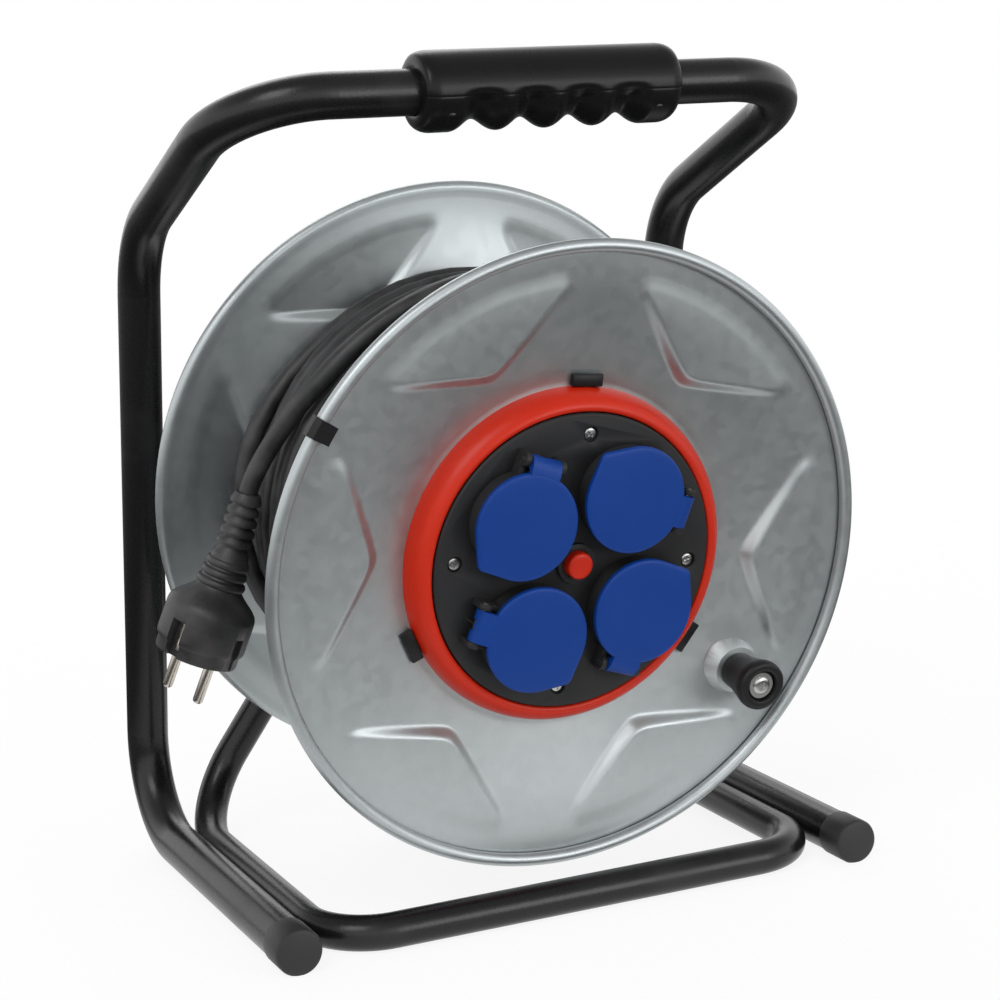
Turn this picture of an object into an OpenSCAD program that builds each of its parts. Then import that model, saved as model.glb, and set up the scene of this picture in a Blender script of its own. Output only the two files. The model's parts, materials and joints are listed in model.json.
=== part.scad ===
// Extension cord reel: a sheet-steel cable drum with four lidded sockets, carried
// on a leaning tubular stand with a finger-grooved carrying handle.
// The drum turns on a spindle that a plate holds on the rear struts.

/* [Stand] */
// Distance between the centre lines of the two legs
leg_span = 282; // [272:2:340]
// Outer diameter of the hoop tube
tube_d = 20; // [18:0.5:22]
// Outer diameter of the inner frame tube
inner_tube_d = 16; // [14:0.5:18]
// Wall of both tubes
tube_wall = 1.5; // [1:0.25:2.5]
// Angle by which the legs lean forward from square to the feet
lean = 7.3; // [4:0.1:10]
// Length of the feet, from the leg line to the tube's end
foot_length = 208.5; // [205:0.5:240]
// Height of the knee above the foot line, along the leg
knee_h = 296; // [270:1:320]
// Height of the handle bar above the foot line, along the leg
handle_h = 377; // [365:1:420]
// Reach of the handle bar forward of the legs
handle_reach = 128; // [115:1:140]
// Bend radius between foot and leg
corner_bend = 42; // [36:1:48]
// Bend radius at the knee
knee_bend = 50; // [40:1:55]
// Bend radius between shoulder and handle bar
top_bend = 45; // [38:1:52]
// Distance from the leg line to the front stretcher's centre line
stretcher_reach = 201; // [195:1:205]
// Distance of the rear struts in front of the leg line
strut_reach = 11; // [9:0.5:12]
// Bend radius between strut and side rail
strut_bend = 38; // [32:1:42]
// Bend radius between side rail and stretcher
stretcher_bend = 30; // [24:1:40]
// Length of a foot cap's closed end
cap_end = 3; // [2:0.5:4]
// Length of a foot cap's sleeve over the tube
cap_sleeve = 14; // [12:1:26]

/* [Handle grip] */
// Length of the grip
grip_length = 124; // [116:2:140]
// Offset of the grip from the middle of the bar
grip_shift = 3; // [0:1:6]
// Outer radius of the grip
grip_r = 17.5; // [16.5:0.25:19]
// Depth of the four finger grooves
groove_depth = 5; // [3:0.5:6]
// Distance between finger grooves
groove_pitch = 23.5; // [21.5:0.5:25]

/* [Drum] */
// Height of the axle above the foot line, along the leg
axle_h = 175; // [172:1:190]
// Distance from the leg line to the rear rim
drum_gap = 32; // [30:0.5:40]
// Distance between the two rims
drum_width = 147; // [136:1:150]
// Radius of the centre line of the rolled rims
rim_r = 142; // [138:0.5:145]
// Diameter of the rolled rims
bead_d = 6; // [5:0.5:7]
// Thickness of the flange sheet
sheet = 1; // [0.8:0.1:1.5]
// Depth of the dished flanges at their flat centre
dish = 12; // [9:0.5:14]
// Height of a pressed petal above the dish at its point
petal_rise = 4; // [2:0.5:5]
// Radius of the drum core
core_r = 75; // [74:0.25:76]
// Turn of the drum at rest
drum_phase = -6; // [-12:1:0]

/* [Spindle] */
// Radius of the spindle
spindle_r = 10; // [8:0.5:11]
// Thickness of the bearing bushes
bush_t = 3; // [2:0.5:4]
// Wall of the hub tube
hub_wall = 4; // [3:0.5:6]
// Radius of the spindle's foot
spindle_foot_r = 34; // [33:0.5:38]
// Thickness of the spindle's foot and of its plate
plate_t = 4; // [3:0.5:5]
// Distance of the spindle bolts from the spindle
spindle_bolt_offset = 24; // [23:0.5:25]

/* [Socket insert] */
// Radius of the socket plate
plate_r = 68; // [67:0.25:69]
// Outer radius of the coloured ring
ring_r = 77.5; // [76:0.25:78.5]
// Distance of the socket centres from the axle
socket_offset = 37.5; // [36.5:0.25:39]
// Inner radius of a socket's recess
recess_r = 19.5; // [19:0.25:20]
// Depth of a socket's recess
recess_depth = 17.5; // [16:0.5:19]
// Wall of a socket's collar
collar_wall = 3; // [2.5:0.25:3.5]
// Height of the collars above the plate
collar_h = 9; // [8:0.5:10]
// Radius of a lid
lid_r = 24.3; // [23.5:0.1:25]
// Thickness of a lid
lid_t = 3.6; // [3:0.1:4.5]
// Radius of the reset button
button_r = 6.2; // [5:0.1:7]
// Height of the reset button above the flange's rim plane
button_top = 7; // [5:0.5:9]
// Travel of the reset button
button_travel = 2.5; // [1.5:0.25:3]

/* [Winding knob] */
// Distance of the knob from the axle
knob_offset = 111; // [109:0.5:113]
// Length of the knob
knob_length = 23; // [20:0.5:30]
// Radius of the knob's head
knob_head_r = 11.8; // [10:0.2:13]
// Radius of the knob's foot
knob_foot_r = 8.6; // [8:0.2:10]

/* [Cable and plug] */
// Diameter of the cable
cable_d = 9; // [8.5:0.1:9.2]
// Distance between neighbouring turns of the outer layer
wind_pitch = 9.6; // [9.5:0.05:10]
// Thickness of the layers below the outer one
under_layers = 22.2; // [21.5:0.1:22.4]
// Length of a contact pin
pin_length = 19; // [17:0.5:19]
// Distance between the contact pins
pin_spacing = 19; // [17:0.5:20]

/* [Hidden] */
$fn = 96;

// Running clearance of a turning or sliding shaft, and free air between other pieces
fit = 0.05;
air = 0.3;

steel_black = [0.1, 0.1, 0.11];
plastic_black = [0.13, 0.13, 0.14];
zinc = [0.62, 0.65, 0.67];
bright_steel = [0.78, 0.79, 0.8];

// ---- Stand: derived places ----
tube_r = tube_d / 2;
inner_r = inner_tube_d / 2;
leg_x = leg_span / 2;
rim_y = -(drum_gap + drum_width);
weld_gap = 0.2;
cap_wall = 0.6;

// The frame is centred over its own footprint: rim top in front, corner bend behind.
front_most = rim_y * cos(lean) - (axle_h + rim_r) * sin(lean) - bead_d / 2;
back_most = corner_bend + tube_r - corner_bend * (1 + sin(lean)) / cos(lean);
frame_y = -(front_most + back_most) / 2;

// A point of the leaning hoop, given as [x, forward of the legs, along the legs]
function leaning_point(p) = [
    p.x,
    frame_y + p.y * cos(lean) - p.z * sin(lean),
    tube_r + p.y * sin(lean) + p.z * cos(lean)
];

module leaning() {
    translate([0, frame_y, tube_r]) rotate([lean, 0, 0]) children();
}

// The drum's own frame: Z points out of the front flange, from the plane of its rim.
module on_drum() {
    leaning() translate([0, rim_y, axle_h]) rotate([90, 0, 0]) rotate([0, 0, drum_phase]) children();
}

// ---- Bent tubes ----
function unit(v) = v / norm(v);
function turn_angle(a, b, c) = acos(unit(b - a) * unit(c - b));
function setback(a, b, c, bend) = bend * tan(turn_angle(a, b, c) / 2);
function corner_start(p, bends, i) =
    p[i] - unit(p[i] - p[i - 1]) * setback(p[i - 1], p[i], p[i + 1], bends[i]);
function corner_end(p, bends, i) =
    p[i] + unit(p[i + 1] - p[i]) * setback(p[i - 1], p[i], p[i + 1], bends[i]);

// Places its child in a frame given by its origin and three unit axes
module in_frame(origin, ex, ey, ez) {
    multmatrix([
        [ex.x, ey.x, ez.x, origin.x],
        [ex.y, ey.y, ez.y, origin.y],
        [ex.z, ey.z, ez.z, origin.z],
        [0, 0, 0, 1]
    ]) children();
}

// Straight runs reach a little into the bends, whose tube is drawn thinner by as little
bend_lap = 0.3;
bend_draw = 0.02;

module straight_tube(from, to, side, d, wall) {
    along = unit(to - from);
    across = unit(side - along * (side * along));
    in_frame(from, across, cross(along, across), along) difference() {
        cylinder(d = d, h = norm(to - from));
        translate([0, 0, -1]) cylinder(d = d - 2 * wall, h = norm(to - from) + 2);
    }
}

module tube_elbow(a, b, c, bend, d, wall) {
    angle = turn_angle(a, b, c);
    along = unit(b - a);
    start = b - along * setback(a, b, c, bend);
    inward = unit(unit(c - b) - along * (along * unit(c - b)));
    in_frame(start + inward * bend, -inward, along, cross(-inward, along))
        rotate_extrude(angle = angle) translate([bend, 0]) difference() {
            circle(r = d / 2 - bend_draw);
            circle(r = d / 2 - wall + bend_draw);
        }
}

// A tube through the points, bent at each inner point by the radius of the same index
module bent_tube(points, bends, d, wall) {
    last = len(points) - 1;
    for (i = [0:last - 1]) {
        along = unit(points[i + 1] - points[i]);
        from = i == 0 ? points[0] : corner_end(points, bends, i) - along * bend_lap;
        to = i == last - 1 ? points[last] : corner_start(points, bends, i + 1) + along * bend_lap;
        near = max(1, min(i, last - 1));
        side = cross(points[near] - points[near - 1], points[near + 1] - points[near]);
        straight_tube(from, to, side, d, wall);
    }
    for (i = [1:last - 1])
        tube_elbow(points[i - 1], points[i], points[i + 1], bends[i], d, wall);
}

function hoop_side(s) = [
    [s * leg_x, frame_y - foot_length, tube_r],
    leaning_point([s * leg_x, 0, 0]),
    leaning_point([s * leg_x, 0, knee_h]),
    leaning_point([s * leg_x, -handle_reach, handle_h])
];

module hoop_tube() {
    left = hoop_side(-1);
    right = hoop_side(1);
    color(steel_black) bent_tube(
        concat(left, [right[3], right[2], right[1], right[0]]),
        [0, corner_bend, knee_bend, top_bend, top_bend, knee_bend, corner_bend],
        tube_d, tube_wall);
}

// The inner frame's side rails lie against the feet, on the floor.
rail_gap = tube_r + inner_r + weld_gap;
rail_x = leg_x - sqrt(pow(rail_gap, 2) - pow(tube_r - inner_r, 2));
strut_top_x = 12;
strut_top_h = axle_h - 4.5;

function inner_side(s) = [
    leaning_point([s * strut_top_x, -strut_reach, strut_top_h]),
    [s * rail_x, frame_y - strut_reach, inner_r],
    [s * rail_x, frame_y - stretcher_reach, inner_r]
];

module inner_frame_tube() {
    left = inner_side(-1);
    right = inner_side(1);
    color(steel_black) bent_tube(
        concat(left, [right[2], right[1], right[0]]),
        [0, strut_bend, stretcher_bend, stretcher_bend, strut_bend],
        inner_tube_d, tube_wall);
}

// A cap's sole is cut flat, level with the tubes.
module foot_cap(s) {
    cap_r = tube_r + fit + cap_wall;
    color(plastic_black) translate([s * leg_x, frame_y - foot_length, tube_r]) difference() {
        rotate([90, 0, 0]) rotate_extrude() polygon([
            [0, -cap_sleeve], [cap_r - 0.3, -cap_sleeve], [cap_r, 0.3 - cap_sleeve], [cap_r, cap_end - 1.8],
            [cap_r - 0.6, cap_end - 0.6], [cap_r - 2, cap_end], [0, cap_end]
        ]);
        rotate([90, 0, 0]) translate([0, 0, -cap_sleeve - 1])
            cylinder(r = tube_r + fit, h = cap_sleeve + 1);
        translate([-tube_d, -cap_end - 1, -tube_r - 2])
            cube([2 * tube_d, cap_sleeve + cap_end + 2, 2]);
    }
}

module foot_cap_left() { foot_cap(-1); }
module foot_cap_right() { foot_cap(1); }

// ---- Spindle and its plate, in the leaning frame at axle height ----
plate_y = -(strut_reach + inner_r + weld_gap);
foot_y = plate_y - plate_t;
shoulder_r = spindle_r + bush_t + 1;
hub_back = drum_width - 5;
hub_front = 72;
bolt_r = 4;
plate_corner_r = 3 * bolt_r;
spindle_end = hub_front - 6;
foot_front = -rim_y + foot_y - plate_t;

module axle_plate() {
    color(steel_black) leaning() translate([0, plate_y, axle_h]) rotate([90, 0, 0]) difference() {
        linear_extrude(plate_t) hull() {
            for (s = [-1, 1]) translate([s * (spindle_foot_r - plate_corner_r), -spindle_bolt_offset])
                circle(r = plate_corner_r);
            translate([0, spindle_bolt_offset]) circle(r = plate_corner_r);
        }
        for (s = [-1, 1]) translate([0, s * spindle_bolt_offset, -1])
            cylinder(r = bolt_r + fit, h = plate_t + 2);
    }
}

module axle_spindle() {
    color(bright_steel) on_drum() difference() {
        union() {
            translate([0, 0, -foot_front - plate_t]) cylinder(r = spindle_foot_r, h = plate_t);
            translate([0, 0, -foot_front]) cylinder(r = shoulder_r, h = foot_front - hub_back - air);
            translate([0, 0, -foot_front]) cylinder(r = spindle_r, h = foot_front - spindle_end);
        }
        rotate([0, 0, -drum_phase]) for (s = [-1, 1])
            translate([0, s * spindle_bolt_offset, -foot_front - plate_t - 1])
                cylinder(r = bolt_r + fit, h = plate_t + 2);
        translate([0, 0, -hub_front + 2.2]) difference() {
            cylinder(r = spindle_r + 1, h = 1.4);
            translate([0, 0, -1]) cylinder(r = spindle_r - 1, h = 4);
        }
    }
}

module spindle_bolts() {
    color(bright_steel) leaning() translate([0, foot_y - plate_t, axle_h]) rotate([90, 0, 0])
        for (s = [-1, 1]) translate([0, s * spindle_bolt_offset, 0]) {
            cylinder(r = 6.5, h = 5, $fn = 6);
            translate([0, 0, -2 * plate_t - 9]) cylinder(r = bolt_r, h = 2 * plate_t + 9);
        }
}

module spindle_nuts() {
    color(bright_steel) leaning() translate([0, plate_y, axle_h]) rotate([-90, 0, 0])
        for (s = [-1, 1]) translate([0, s * spindle_bolt_offset, 0]) difference() {
            cylinder(r = 7, h = 6, $fn = 6);
            translate([0, 0, -1]) cylinder(r = bolt_r + fit, h = 8);
        }
}

// Thrust washer and retaining ring in front of the hub
module spindle_retainer() {
    color(bright_steel) on_drum() {
        translate([0, 0, -hub_front + air]) difference() {
            cylinder(r = spindle_r + 5, h = 1.7);
            translate([0, 0, -1]) cylinder(r = spindle_r + fit, h = 4);
        }
        translate([0, 0, -hub_front + 2.3]) difference() {
            cylinder(r = spindle_r + 3, h = 1.2);
            translate([0, 0, -1]) cylinder(r = spindle_r - 0.9, h = 4);
        }
    }
}

// ---- Handle grip: two half shells round the bar, in the leaning frame ----
bar_y = -handle_reach;
screw_x = grip_length / 2 - 12;
screw_y = tube_r + 3.4;

module on_bar() {
    leaning() translate([grip_shift, bar_y, handle_h]) children();
}

module grip_body() {
    edge = 2;
    rotate([0, 90, 0]) rotate_extrude() polygon([
        [0, -grip_length / 2], [grip_r - edge, -grip_length / 2], [grip_r, -grip_length / 2 + edge],
        [grip_r, grip_length / 2 - edge], [grip_r - edge, grip_length / 2], [0, grip_length / 2]
    ]);
}

module bar_bore() {
    rotate([0, 90, 0]) cylinder(r = tube_r + fit, h = grip_length + 2, center = true);
}

module grip_screw_holes(r) {
    for (x = [-1, 1], y = [-1, 1]) translate([x * screw_x, y * screw_y, -7]) cylinder(r = r, h = 14);
}

module grip_upper_shell() {
    color(plastic_black) on_bar() difference() {
        grip_body();
        bar_bore();
        grip_screw_holes(1.5 + fit);
        translate([-grip_length, -2 * grip_r, -2 * grip_r + 0.1])
            cube([2 * grip_length, 4 * grip_r, 2 * grip_r]);
    }
}

module grip_lower_shell() {
    groove_r = (pow(groove_pitch * 0.42, 2) + pow(groove_depth, 2)) / (2 * groove_depth);
    color(plastic_black) on_bar() difference() {
        grip_body();
        bar_bore();
        grip_screw_holes(1.5 + fit);
        for (x = [-1, 1], y = [-1, 1]) translate([x * screw_x, y * screw_y, -grip_r])
            cylinder(r = 3, h = grip_r - 7);
        translate([-grip_length, -2 * grip_r, 0]) cube([2 * grip_length, 4 * grip_r, 2 * grip_r]);
        for (i = [-1.5:1:1.5])
            translate([i * groove_pitch, 0, -grip_r + groove_depth - groove_r])
                rotate([90, 0, 0]) cylinder(r = groove_r, h = 4 * grip_r, center = true);
    }
}

module grip_screws() {
    color(bright_steel) on_bar() for (x = [-1, 1], y = [-1, 1])
        translate([x * screw_x, y * screw_y, -7]) {
            cylinder(r = 1.5, h = 13);
            translate([0, 0, -1.6]) cylinder(r = 2.8, h = 1.6);
        }
}

// ---- Flanges: a dished sheet with six pressed petals and a rolled rim ----
petals = 6;
flange_columns = 72;
flat_r = core_r + 4;
cone_end_r = rim_r - 4;
pad_end_r = rim_r - 11;
petal_foot = 89;
petal_crest = 97.5;
petal_half_angle = 20;
opening_r = plate_r - 1.5;

function cone_z(r) = -dish * min(1, max(0, (cone_end_r - r) / (cone_end_r - flat_r)));

// Angle from the nearest petal's middle
function petal_angle(a) = abs(((a + 180 / petals) % (360 / petals)) - 180 / petals);

// A chevron's line: nearest the axle at its point, further out along its arms
function chevron_r(point_r, slant, a) =
    point_r * sin(slant) / sin(slant - min(petal_angle(a), petal_half_angle));

pad_z = cone_z(petal_crest) + petal_rise;
function raised_z(r) = pad_z + (cone_z(pad_end_r) - pad_z) * (r - petal_crest) / (pad_end_r - petal_crest);
function on_petal(a) = petal_angle(a) <= petal_half_angle + 0.01;

// Share of the petal's rise reached at each ring, from its foot to its edge
wall_shares = [0, 0.3, 0.75, 1];

function flange_row(a, inner_edge) =
    let (foot = chevron_r(petal_foot, 60, a), crest = chevron_r(petal_crest, 66, a))
    concat(
        [[inner_edge, -dish], [flat_r, -dish]],
        [for (k = [0:3])
            let (r = foot + (crest - foot) * k / 3, lift = on_petal(a) ? wall_shares[k] : 0)
            [r, cone_z(r) + lift * (raised_z(crest) - cone_z(crest))]],
        [let (r = (crest + pad_end_r) / 2) [r, on_petal(a) ? raised_z(r) : cone_z(r)]],
        [[pad_end_r, cone_z(pad_end_r)], [cone_end_r, 0]]);

// Closed profile of one column: the outer face, round the rim, and back below the sheet
bead_steps = 5;
function flange_profile(a, inner_edge) =
    let (row = flange_row(a, inner_edge), b = bead_d / 2)
    concat(
        row,
        [for (k = [0:bead_steps])
            let (t = 150 - 300 * k / bead_steps) [rim_r + b * cos(t), b * sin(t)]],
        [for (k = [len(row) - 1:-1:0]) row[k] - [0, sheet]]);

module pressed_flange(inner_edge) {
    columns = [for (i = [0:flange_columns - 1])
        let (a = 360 * i / flange_columns, profile = flange_profile(a, inner_edge))
        [for (p = profile) [p.x * cos(a), p.x * sin(a), p.y]]];
    n = len(columns[0]);
    points = [for (column = columns, p = column) p];
    faces = [for (i = [0:flange_columns - 1], k = [0:n - 1])
        let (
            i2 = (i + 1) % flange_columns,
            k2 = (k + 1) % n,
            a = i * n + k, b = i * n + k2, c = i2 * n + k2, d = i2 * n + k
        ) each [[a, c, b], [a, d, c]]];
    polyhedron(points = points, faces = faces);
}

module front_flange() {
    color(zinc) on_drum() pressed_flange(opening_r);
}

// ---- Hub ----
bush_r = spindle_r + bush_t;
hub_r = bush_r + hub_wall;
hub_disc_r = core_r - 14;
hub_disc_t = 3;
rear_face = drum_width - dish;

module rear_flange() {
    color(zinc) on_drum() translate([0, 0, -drum_width]) mirror([0, 0, 1])
        pressed_flange(hub_r + air);
}

module drum_core() {
    color(zinc) on_drum() translate([0, 0, -rear_face + sheet]) difference() {
        cylinder(r = core_r, h = rear_face - dish - 2 * sheet);
        translate([0, 0, -1]) cylinder(r = core_r - sheet, h = drum_width);
    }
}

module hub_carrier() {
    color(plastic_black) on_drum() difference() {
        union() {
            translate([0, 0, -hub_back]) cylinder(r = hub_r, h = hub_back - hub_front);
            translate([0, 0, -rear_face - hub_disc_t]) cylinder(r = hub_disc_r, h = hub_disc_t);
            for (a = [0:60:300]) rotate([0, 0, a]) translate([hub_r - 1, -1.5, -rear_face - 6])
                cube([hub_disc_r - hub_r - 8, 3, 4]);
        }
        translate([0, 0, -hub_back - 1]) cylinder(r = bush_r + fit / 2, h = drum_width);
        for (a = [30:60:330]) rotate([0, 0, a]) translate([hub_disc_r - 10, 0, -rear_face - 5])
            cylinder(r = 2.5 + fit, h = 8);
    }
}

module hub_bushes() {
    length = 18;
    color([0.85, 0.83, 0.76]) on_drum() for (z = [-hub_back, -hub_front - length])
        translate([0, 0, z]) difference() {
            cylinder(r = bush_r, h = length);
            translate([0, 0, -1]) cylinder(r = spindle_r + fit, h = length + 2);
        }
}

// Rivets through the hub's disc; their clinched ends lie on the inside of the rear flange
module hub_rivets() {
    color(bright_steel) on_drum() for (a = [30:60:330])
        rotate([0, 0, a]) translate([hub_disc_r - 10, 0, -rear_face]) {
            translate([0, 0, -hub_disc_t]) cylinder(r = 2.5, h = hub_disc_t);
            translate([0, 0, -hub_disc_t - 1.5]) cylinder(r1 = 3.4, r2 = 4.5, h = 1.5);
        }
}

// ---- Socket housing, ring and plate ----
housing_r = plate_r - 2;
housing_depth = 50;
housing_wall = 2.5;
plate_top = 0.3;
plate_under = plate_top - 3;
plate_screw_place = 58.4;
plate_screw_r = 1.8;
plate_screw_length = 13;
screw_seat = plate_top - 2.2;
socket_phase = 58;
insert_r = recess_r + collar_wall;

module at_sockets() {
    for (i = [0:3]) rotate([0, 0, socket_phase + 90 * i]) translate([socket_offset, 0, 0]) children();
}

module at_plate_screws() {
    for (a = [0:90:270]) rotate([0, 0, a]) translate([plate_screw_place, 0, 0]) children();
}

module socket_housing() {
    lip_r = plate_r + 0.2;
    color(plastic_black) on_drum() difference() {
        union() {
            translate([0, 0, -housing_depth]) cylinder(r = housing_r, h = housing_depth + plate_under);
            translate([0, 0, -dish]) cylinder(r = lip_r, h = 2);
        }
        difference() {
            translate([0, 0, -housing_depth + housing_wall])
                cylinder(r = housing_r - housing_wall, h = housing_depth);
            at_plate_screws() translate([0, 0, -housing_depth]) cylinder(r = 4, h = housing_depth);
        }
        at_plate_screws() translate([0, 0, screw_seat - plate_screw_length - 1])
            cylinder(r = plate_screw_r + fit, h = plate_screw_length + 2);
        rotate([0, 0, 20]) translate([housing_r / 2, 0, -housing_depth - 1])
            cylinder(d = cable_d + 3, h = housing_wall + 2);
    }
}

// Conical collar between the flange's flat centre and the plate
module socket_ring() {
    foot = -dish;
    inner = plate_r + 0.4;
    top = ring_r - 7;
    color([0.8, 0.17, 0.08]) on_drum() rotate_extrude() polygon([
        [inner, foot], [inner, -0.5], [inner + 0.5, 0], [top - 0.5, 0], [top + 0.3, -0.6],
        [ring_r - 0.2, foot + 1.4], [ring_r, foot + 0.8], [ring_r, foot],
        [ring_r - 2.6, foot], [top - 0.6, foot + 7], [top - 0.6, foot]
    ]);
}

// Snap latches that hold the ring, lying against its foot
module ring_latches() {
    color(plastic_black) on_drum() for (a = [90, 210, 330]) rotate([0, 0, a])
        translate([ring_r + 0.2, 0, -dish]) rotate([90, 0, 0])
            linear_extrude(15, center = true) polygon([
                [0, 0.1], [flat_r - ring_r - 0.2, 0.1], [5.6, 1.2], [5.6, 2.6], [4.6, 3.2], [0, 3.2]
            ]);
}

module socket_plate() {
    color(plastic_black) on_drum() difference() {
        union() {
            translate([0, 0, plate_under]) cylinder(r = plate_r, h = plate_top - plate_under - 0.8);
            translate([0, 0, plate_top - 0.8]) cylinder(r1 = plate_r, r2 = plate_r - 0.8, h = 0.8);
            translate([0, 0, plate_top]) cylinder(r = button_r + 3, h = 2.2);
        }
        at_sockets() translate([0, 0, plate_under - 1]) cylinder(r = insert_r + 0.1, h = 8);
        at_plate_screws() {
            translate([0, 0, plate_under - 1]) cylinder(r = plate_screw_r + fit, h = 8);
            translate([0, 0, screw_seat]) cylinder(r = 2 * plate_screw_r, h = 3);
        }
        translate([0, 0, plate_under - 1]) cylinder(r = button_r + fit, h = 10);
    }
}

module plate_screws() {
    color(bright_steel) on_drum() at_plate_screws() difference() {
        union() {
            translate([0, 0, screw_seat - plate_screw_length])
                cylinder(r = plate_screw_r, h = plate_screw_length);
            translate([0, 0, screw_seat]) cylinder(r = plate_screw_r + 1.2, h = 1.4);
        }
        for (a = [0, 90]) rotate([0, 0, a]) translate([-2, -0.4, screw_seat + 0.6]) cube([4, 0.8, 2]);
    }
}

// ---- Sockets: each in its own frame, with X towards the lid's hinge ----
collar_top = plate_top + collar_h;
hinge_x = insert_r + 5.4;
hinge_z = collar_top - 2.2;
hinge_pin_r = 1.5;
knuckle_r = 3.2;
ear_in = 7.6;
ear_out = 10.2;
hinge_turn = -71;
flange_t = 1.6;

// Frame of socket i: its centre on the plate, X turned towards its hinge
module on_socket(i) {
    on_drum() rotate([0, 0, socket_phase + 90 * i]) translate([socket_offset, 0, 0])
        rotate([0, 0, hinge_turn]) children();
}

module hinge_ears() {
    for (s = [-1, 1]) translate([0, s * (ear_in + ear_out) / 2, 0]) rotate([90, 0, 0])
        linear_extrude(ear_out - ear_in, center = true) difference() {
            union() {
                translate([hinge_x, hinge_z]) circle(r = knuckle_r);
                translate([insert_r - 3, plate_top + 0.2])
                    square([hinge_x + knuckle_r - insert_r + 3, hinge_z - plate_top - 0.2]);
            }
            translate([hinge_x, hinge_z]) circle(r = hinge_pin_r + fit / 2);
        }
}

module socket_insert(i) {
    floor_z = plate_top - recess_depth;
    color([0.16, 0.17, 0.2]) on_socket(i) difference() {
        union() {
            translate([0, 0, floor_z - 3]) cylinder(r = insert_r, h = recess_depth + 3 + collar_h);
            hinge_ears();
            rotate([0, 0, -hinge_turn]) translate([0, 0, plate_under - 2]) cylinder(r = insert_r + 1, h = 1.8);
        }
        translate([0, 0, floor_z]) cylinder(r = recess_r, h = recess_depth + collar_h + 1);
        rotate([0, 0, 35]) {
            for (s = [-1, 1]) translate([0, s * pin_spacing / 2, floor_z - 4]) cylinder(r = 2.6, h = 6);
            for (s = [-1, 1]) translate([s * (recess_r - 1), 0, floor_z - 4]) translate([-1.2, -2.7, 0])
                cube([2.4, 5.4, 5]);
        }
    }
}

module socket_insert_1() { socket_insert(0); }
module socket_insert_2() { socket_insert(1); }
module socket_insert_3() { socket_insert(2); }
module socket_insert_4() { socket_insert(3); }

// Contact sleeves behind the sockets' pin holes
module socket_contacts() {
    back = plate_top - recess_depth - 3;
    color([0.8, 0.66, 0.3]) for (i = [0:3]) on_socket(i) rotate([0, 0, 35]) for (s = [-1, 1])
        translate([0, s * pin_spacing / 2, back - 16]) difference() {
            cylinder(r = 3.6, h = 15.8);
            translate([0, 0, 1]) cylinder(r = 2.5, h = 20);
        }
}

// Earthing clips on both sides of each recess
module earth_clips() {
    floor_z = plate_top - recess_depth;
    color(bright_steel) for (i = [0:3]) on_socket(i) rotate([0, 0, 35]) for (s = [-1, 1])
        translate([s * (recess_r - 1), 0, floor_z - 3.6]) rotate([90, 0, 0])
            linear_extrude(5, center = true) polygon([
                [-s * 0.5, 0], [s * 0.5, 0], [s * 0.5, 10], [-s * 1.4, 15], [-s * 0.6, 17.5],
                [-s * 1.5, 17.8], [-s * 2.4, 15], [-s * 0.5, 9.6]
            ]);
}

// A sprung lid: domed disc, finger lip and two knuckles on the hinge pin
lid_under = collar_top + 0.3;
lid_top = lid_under + lid_t;
lip_turn = 145;
spring_half = 2.6;

module lid_outline() {
    circle(r = lid_r);
    hull() {
        translate([lid_r - 4, 0]) square([1, 13], center = true);
        translate([hinge_x, 0]) square([1, 13], center = true);
    }
    rotate(lip_turn) hull() {
        translate([lid_r - 5, 0]) circle(r = 8);
        translate([lid_r + 1.5, 4]) circle(r = 3.5);
    }
}

module socket_lid(i) {
    color([0.12, 0.25, 0.56]) on_socket(i) difference() {
        union() {
            translate([0, 0, lid_under]) linear_extrude(lid_t - 0.8) lid_outline();
            translate([0, 0, lid_top - 0.8]) cylinder(r1 = lid_r, r2 = lid_r - 0.8, h = 0.8);
            for (s = [-1, 1]) translate([hinge_x, s * (spring_half + ear_in - 0.4) / 2, hinge_z])
                rotate([90, 0, 0]) cylinder(r = knuckle_r - 0.2, h = ear_in - 0.4 - spring_half, center = true);
            for (s = [-1, 1]) translate([hinge_x - 2, s * (spring_half + 6.4) / 2, (hinge_z + lid_top) / 2])
                cube([4, 6.4 - spring_half, lid_top - hinge_z - 1.6], center = true);
        }
        translate([0, 0, lid_under - 1]) cylinder(r = recess_r - 0.5, h = 2.4);
        translate([hinge_x, 0, hinge_z]) rotate([90, 0, 0])
            cylinder(r = hinge_pin_r + fit, h = 30, center = true);
        translate([hinge_x, 0, hinge_z]) rotate([90, 0, 0])
            cylinder(r = knuckle_r, h = 2 * spring_half, center = true);
    }
}

module socket_lid_1() { socket_lid(0); }
module socket_lid_2() { socket_lid(1); }
module socket_lid_3() { socket_lid(2); }
module socket_lid_4() { socket_lid(3); }

module lid_pins() {
    color(bright_steel) for (i = [0:3]) on_socket(i) translate([hinge_x, 0, hinge_z])
        rotate([90, 0, 0]) cylinder(r = hinge_pin_r, h = 2 * ear_out + 0.4, center = true);
}

// Closing springs: a coil round the pin with one leg standing on the plate
module lid_springs() {
    coil_r = hinge_pin_r + 0.25;
    color(bright_steel) for (i = [0:3]) on_socket(i) {
        translate([hinge_x, 0, hinge_z]) rotate([90, 0, 0]) difference() {
            cylinder(r = coil_r + 0.8, h = 2 * spring_half - 0.8, center = true);
            cylinder(r = coil_r, h = 2 * spring_half, center = true);
        }
        translate([hinge_x + coil_r + 0.4, 0, plate_top]) cylinder(r = 0.4, h = hinge_z - plate_top);
    }
}

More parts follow.
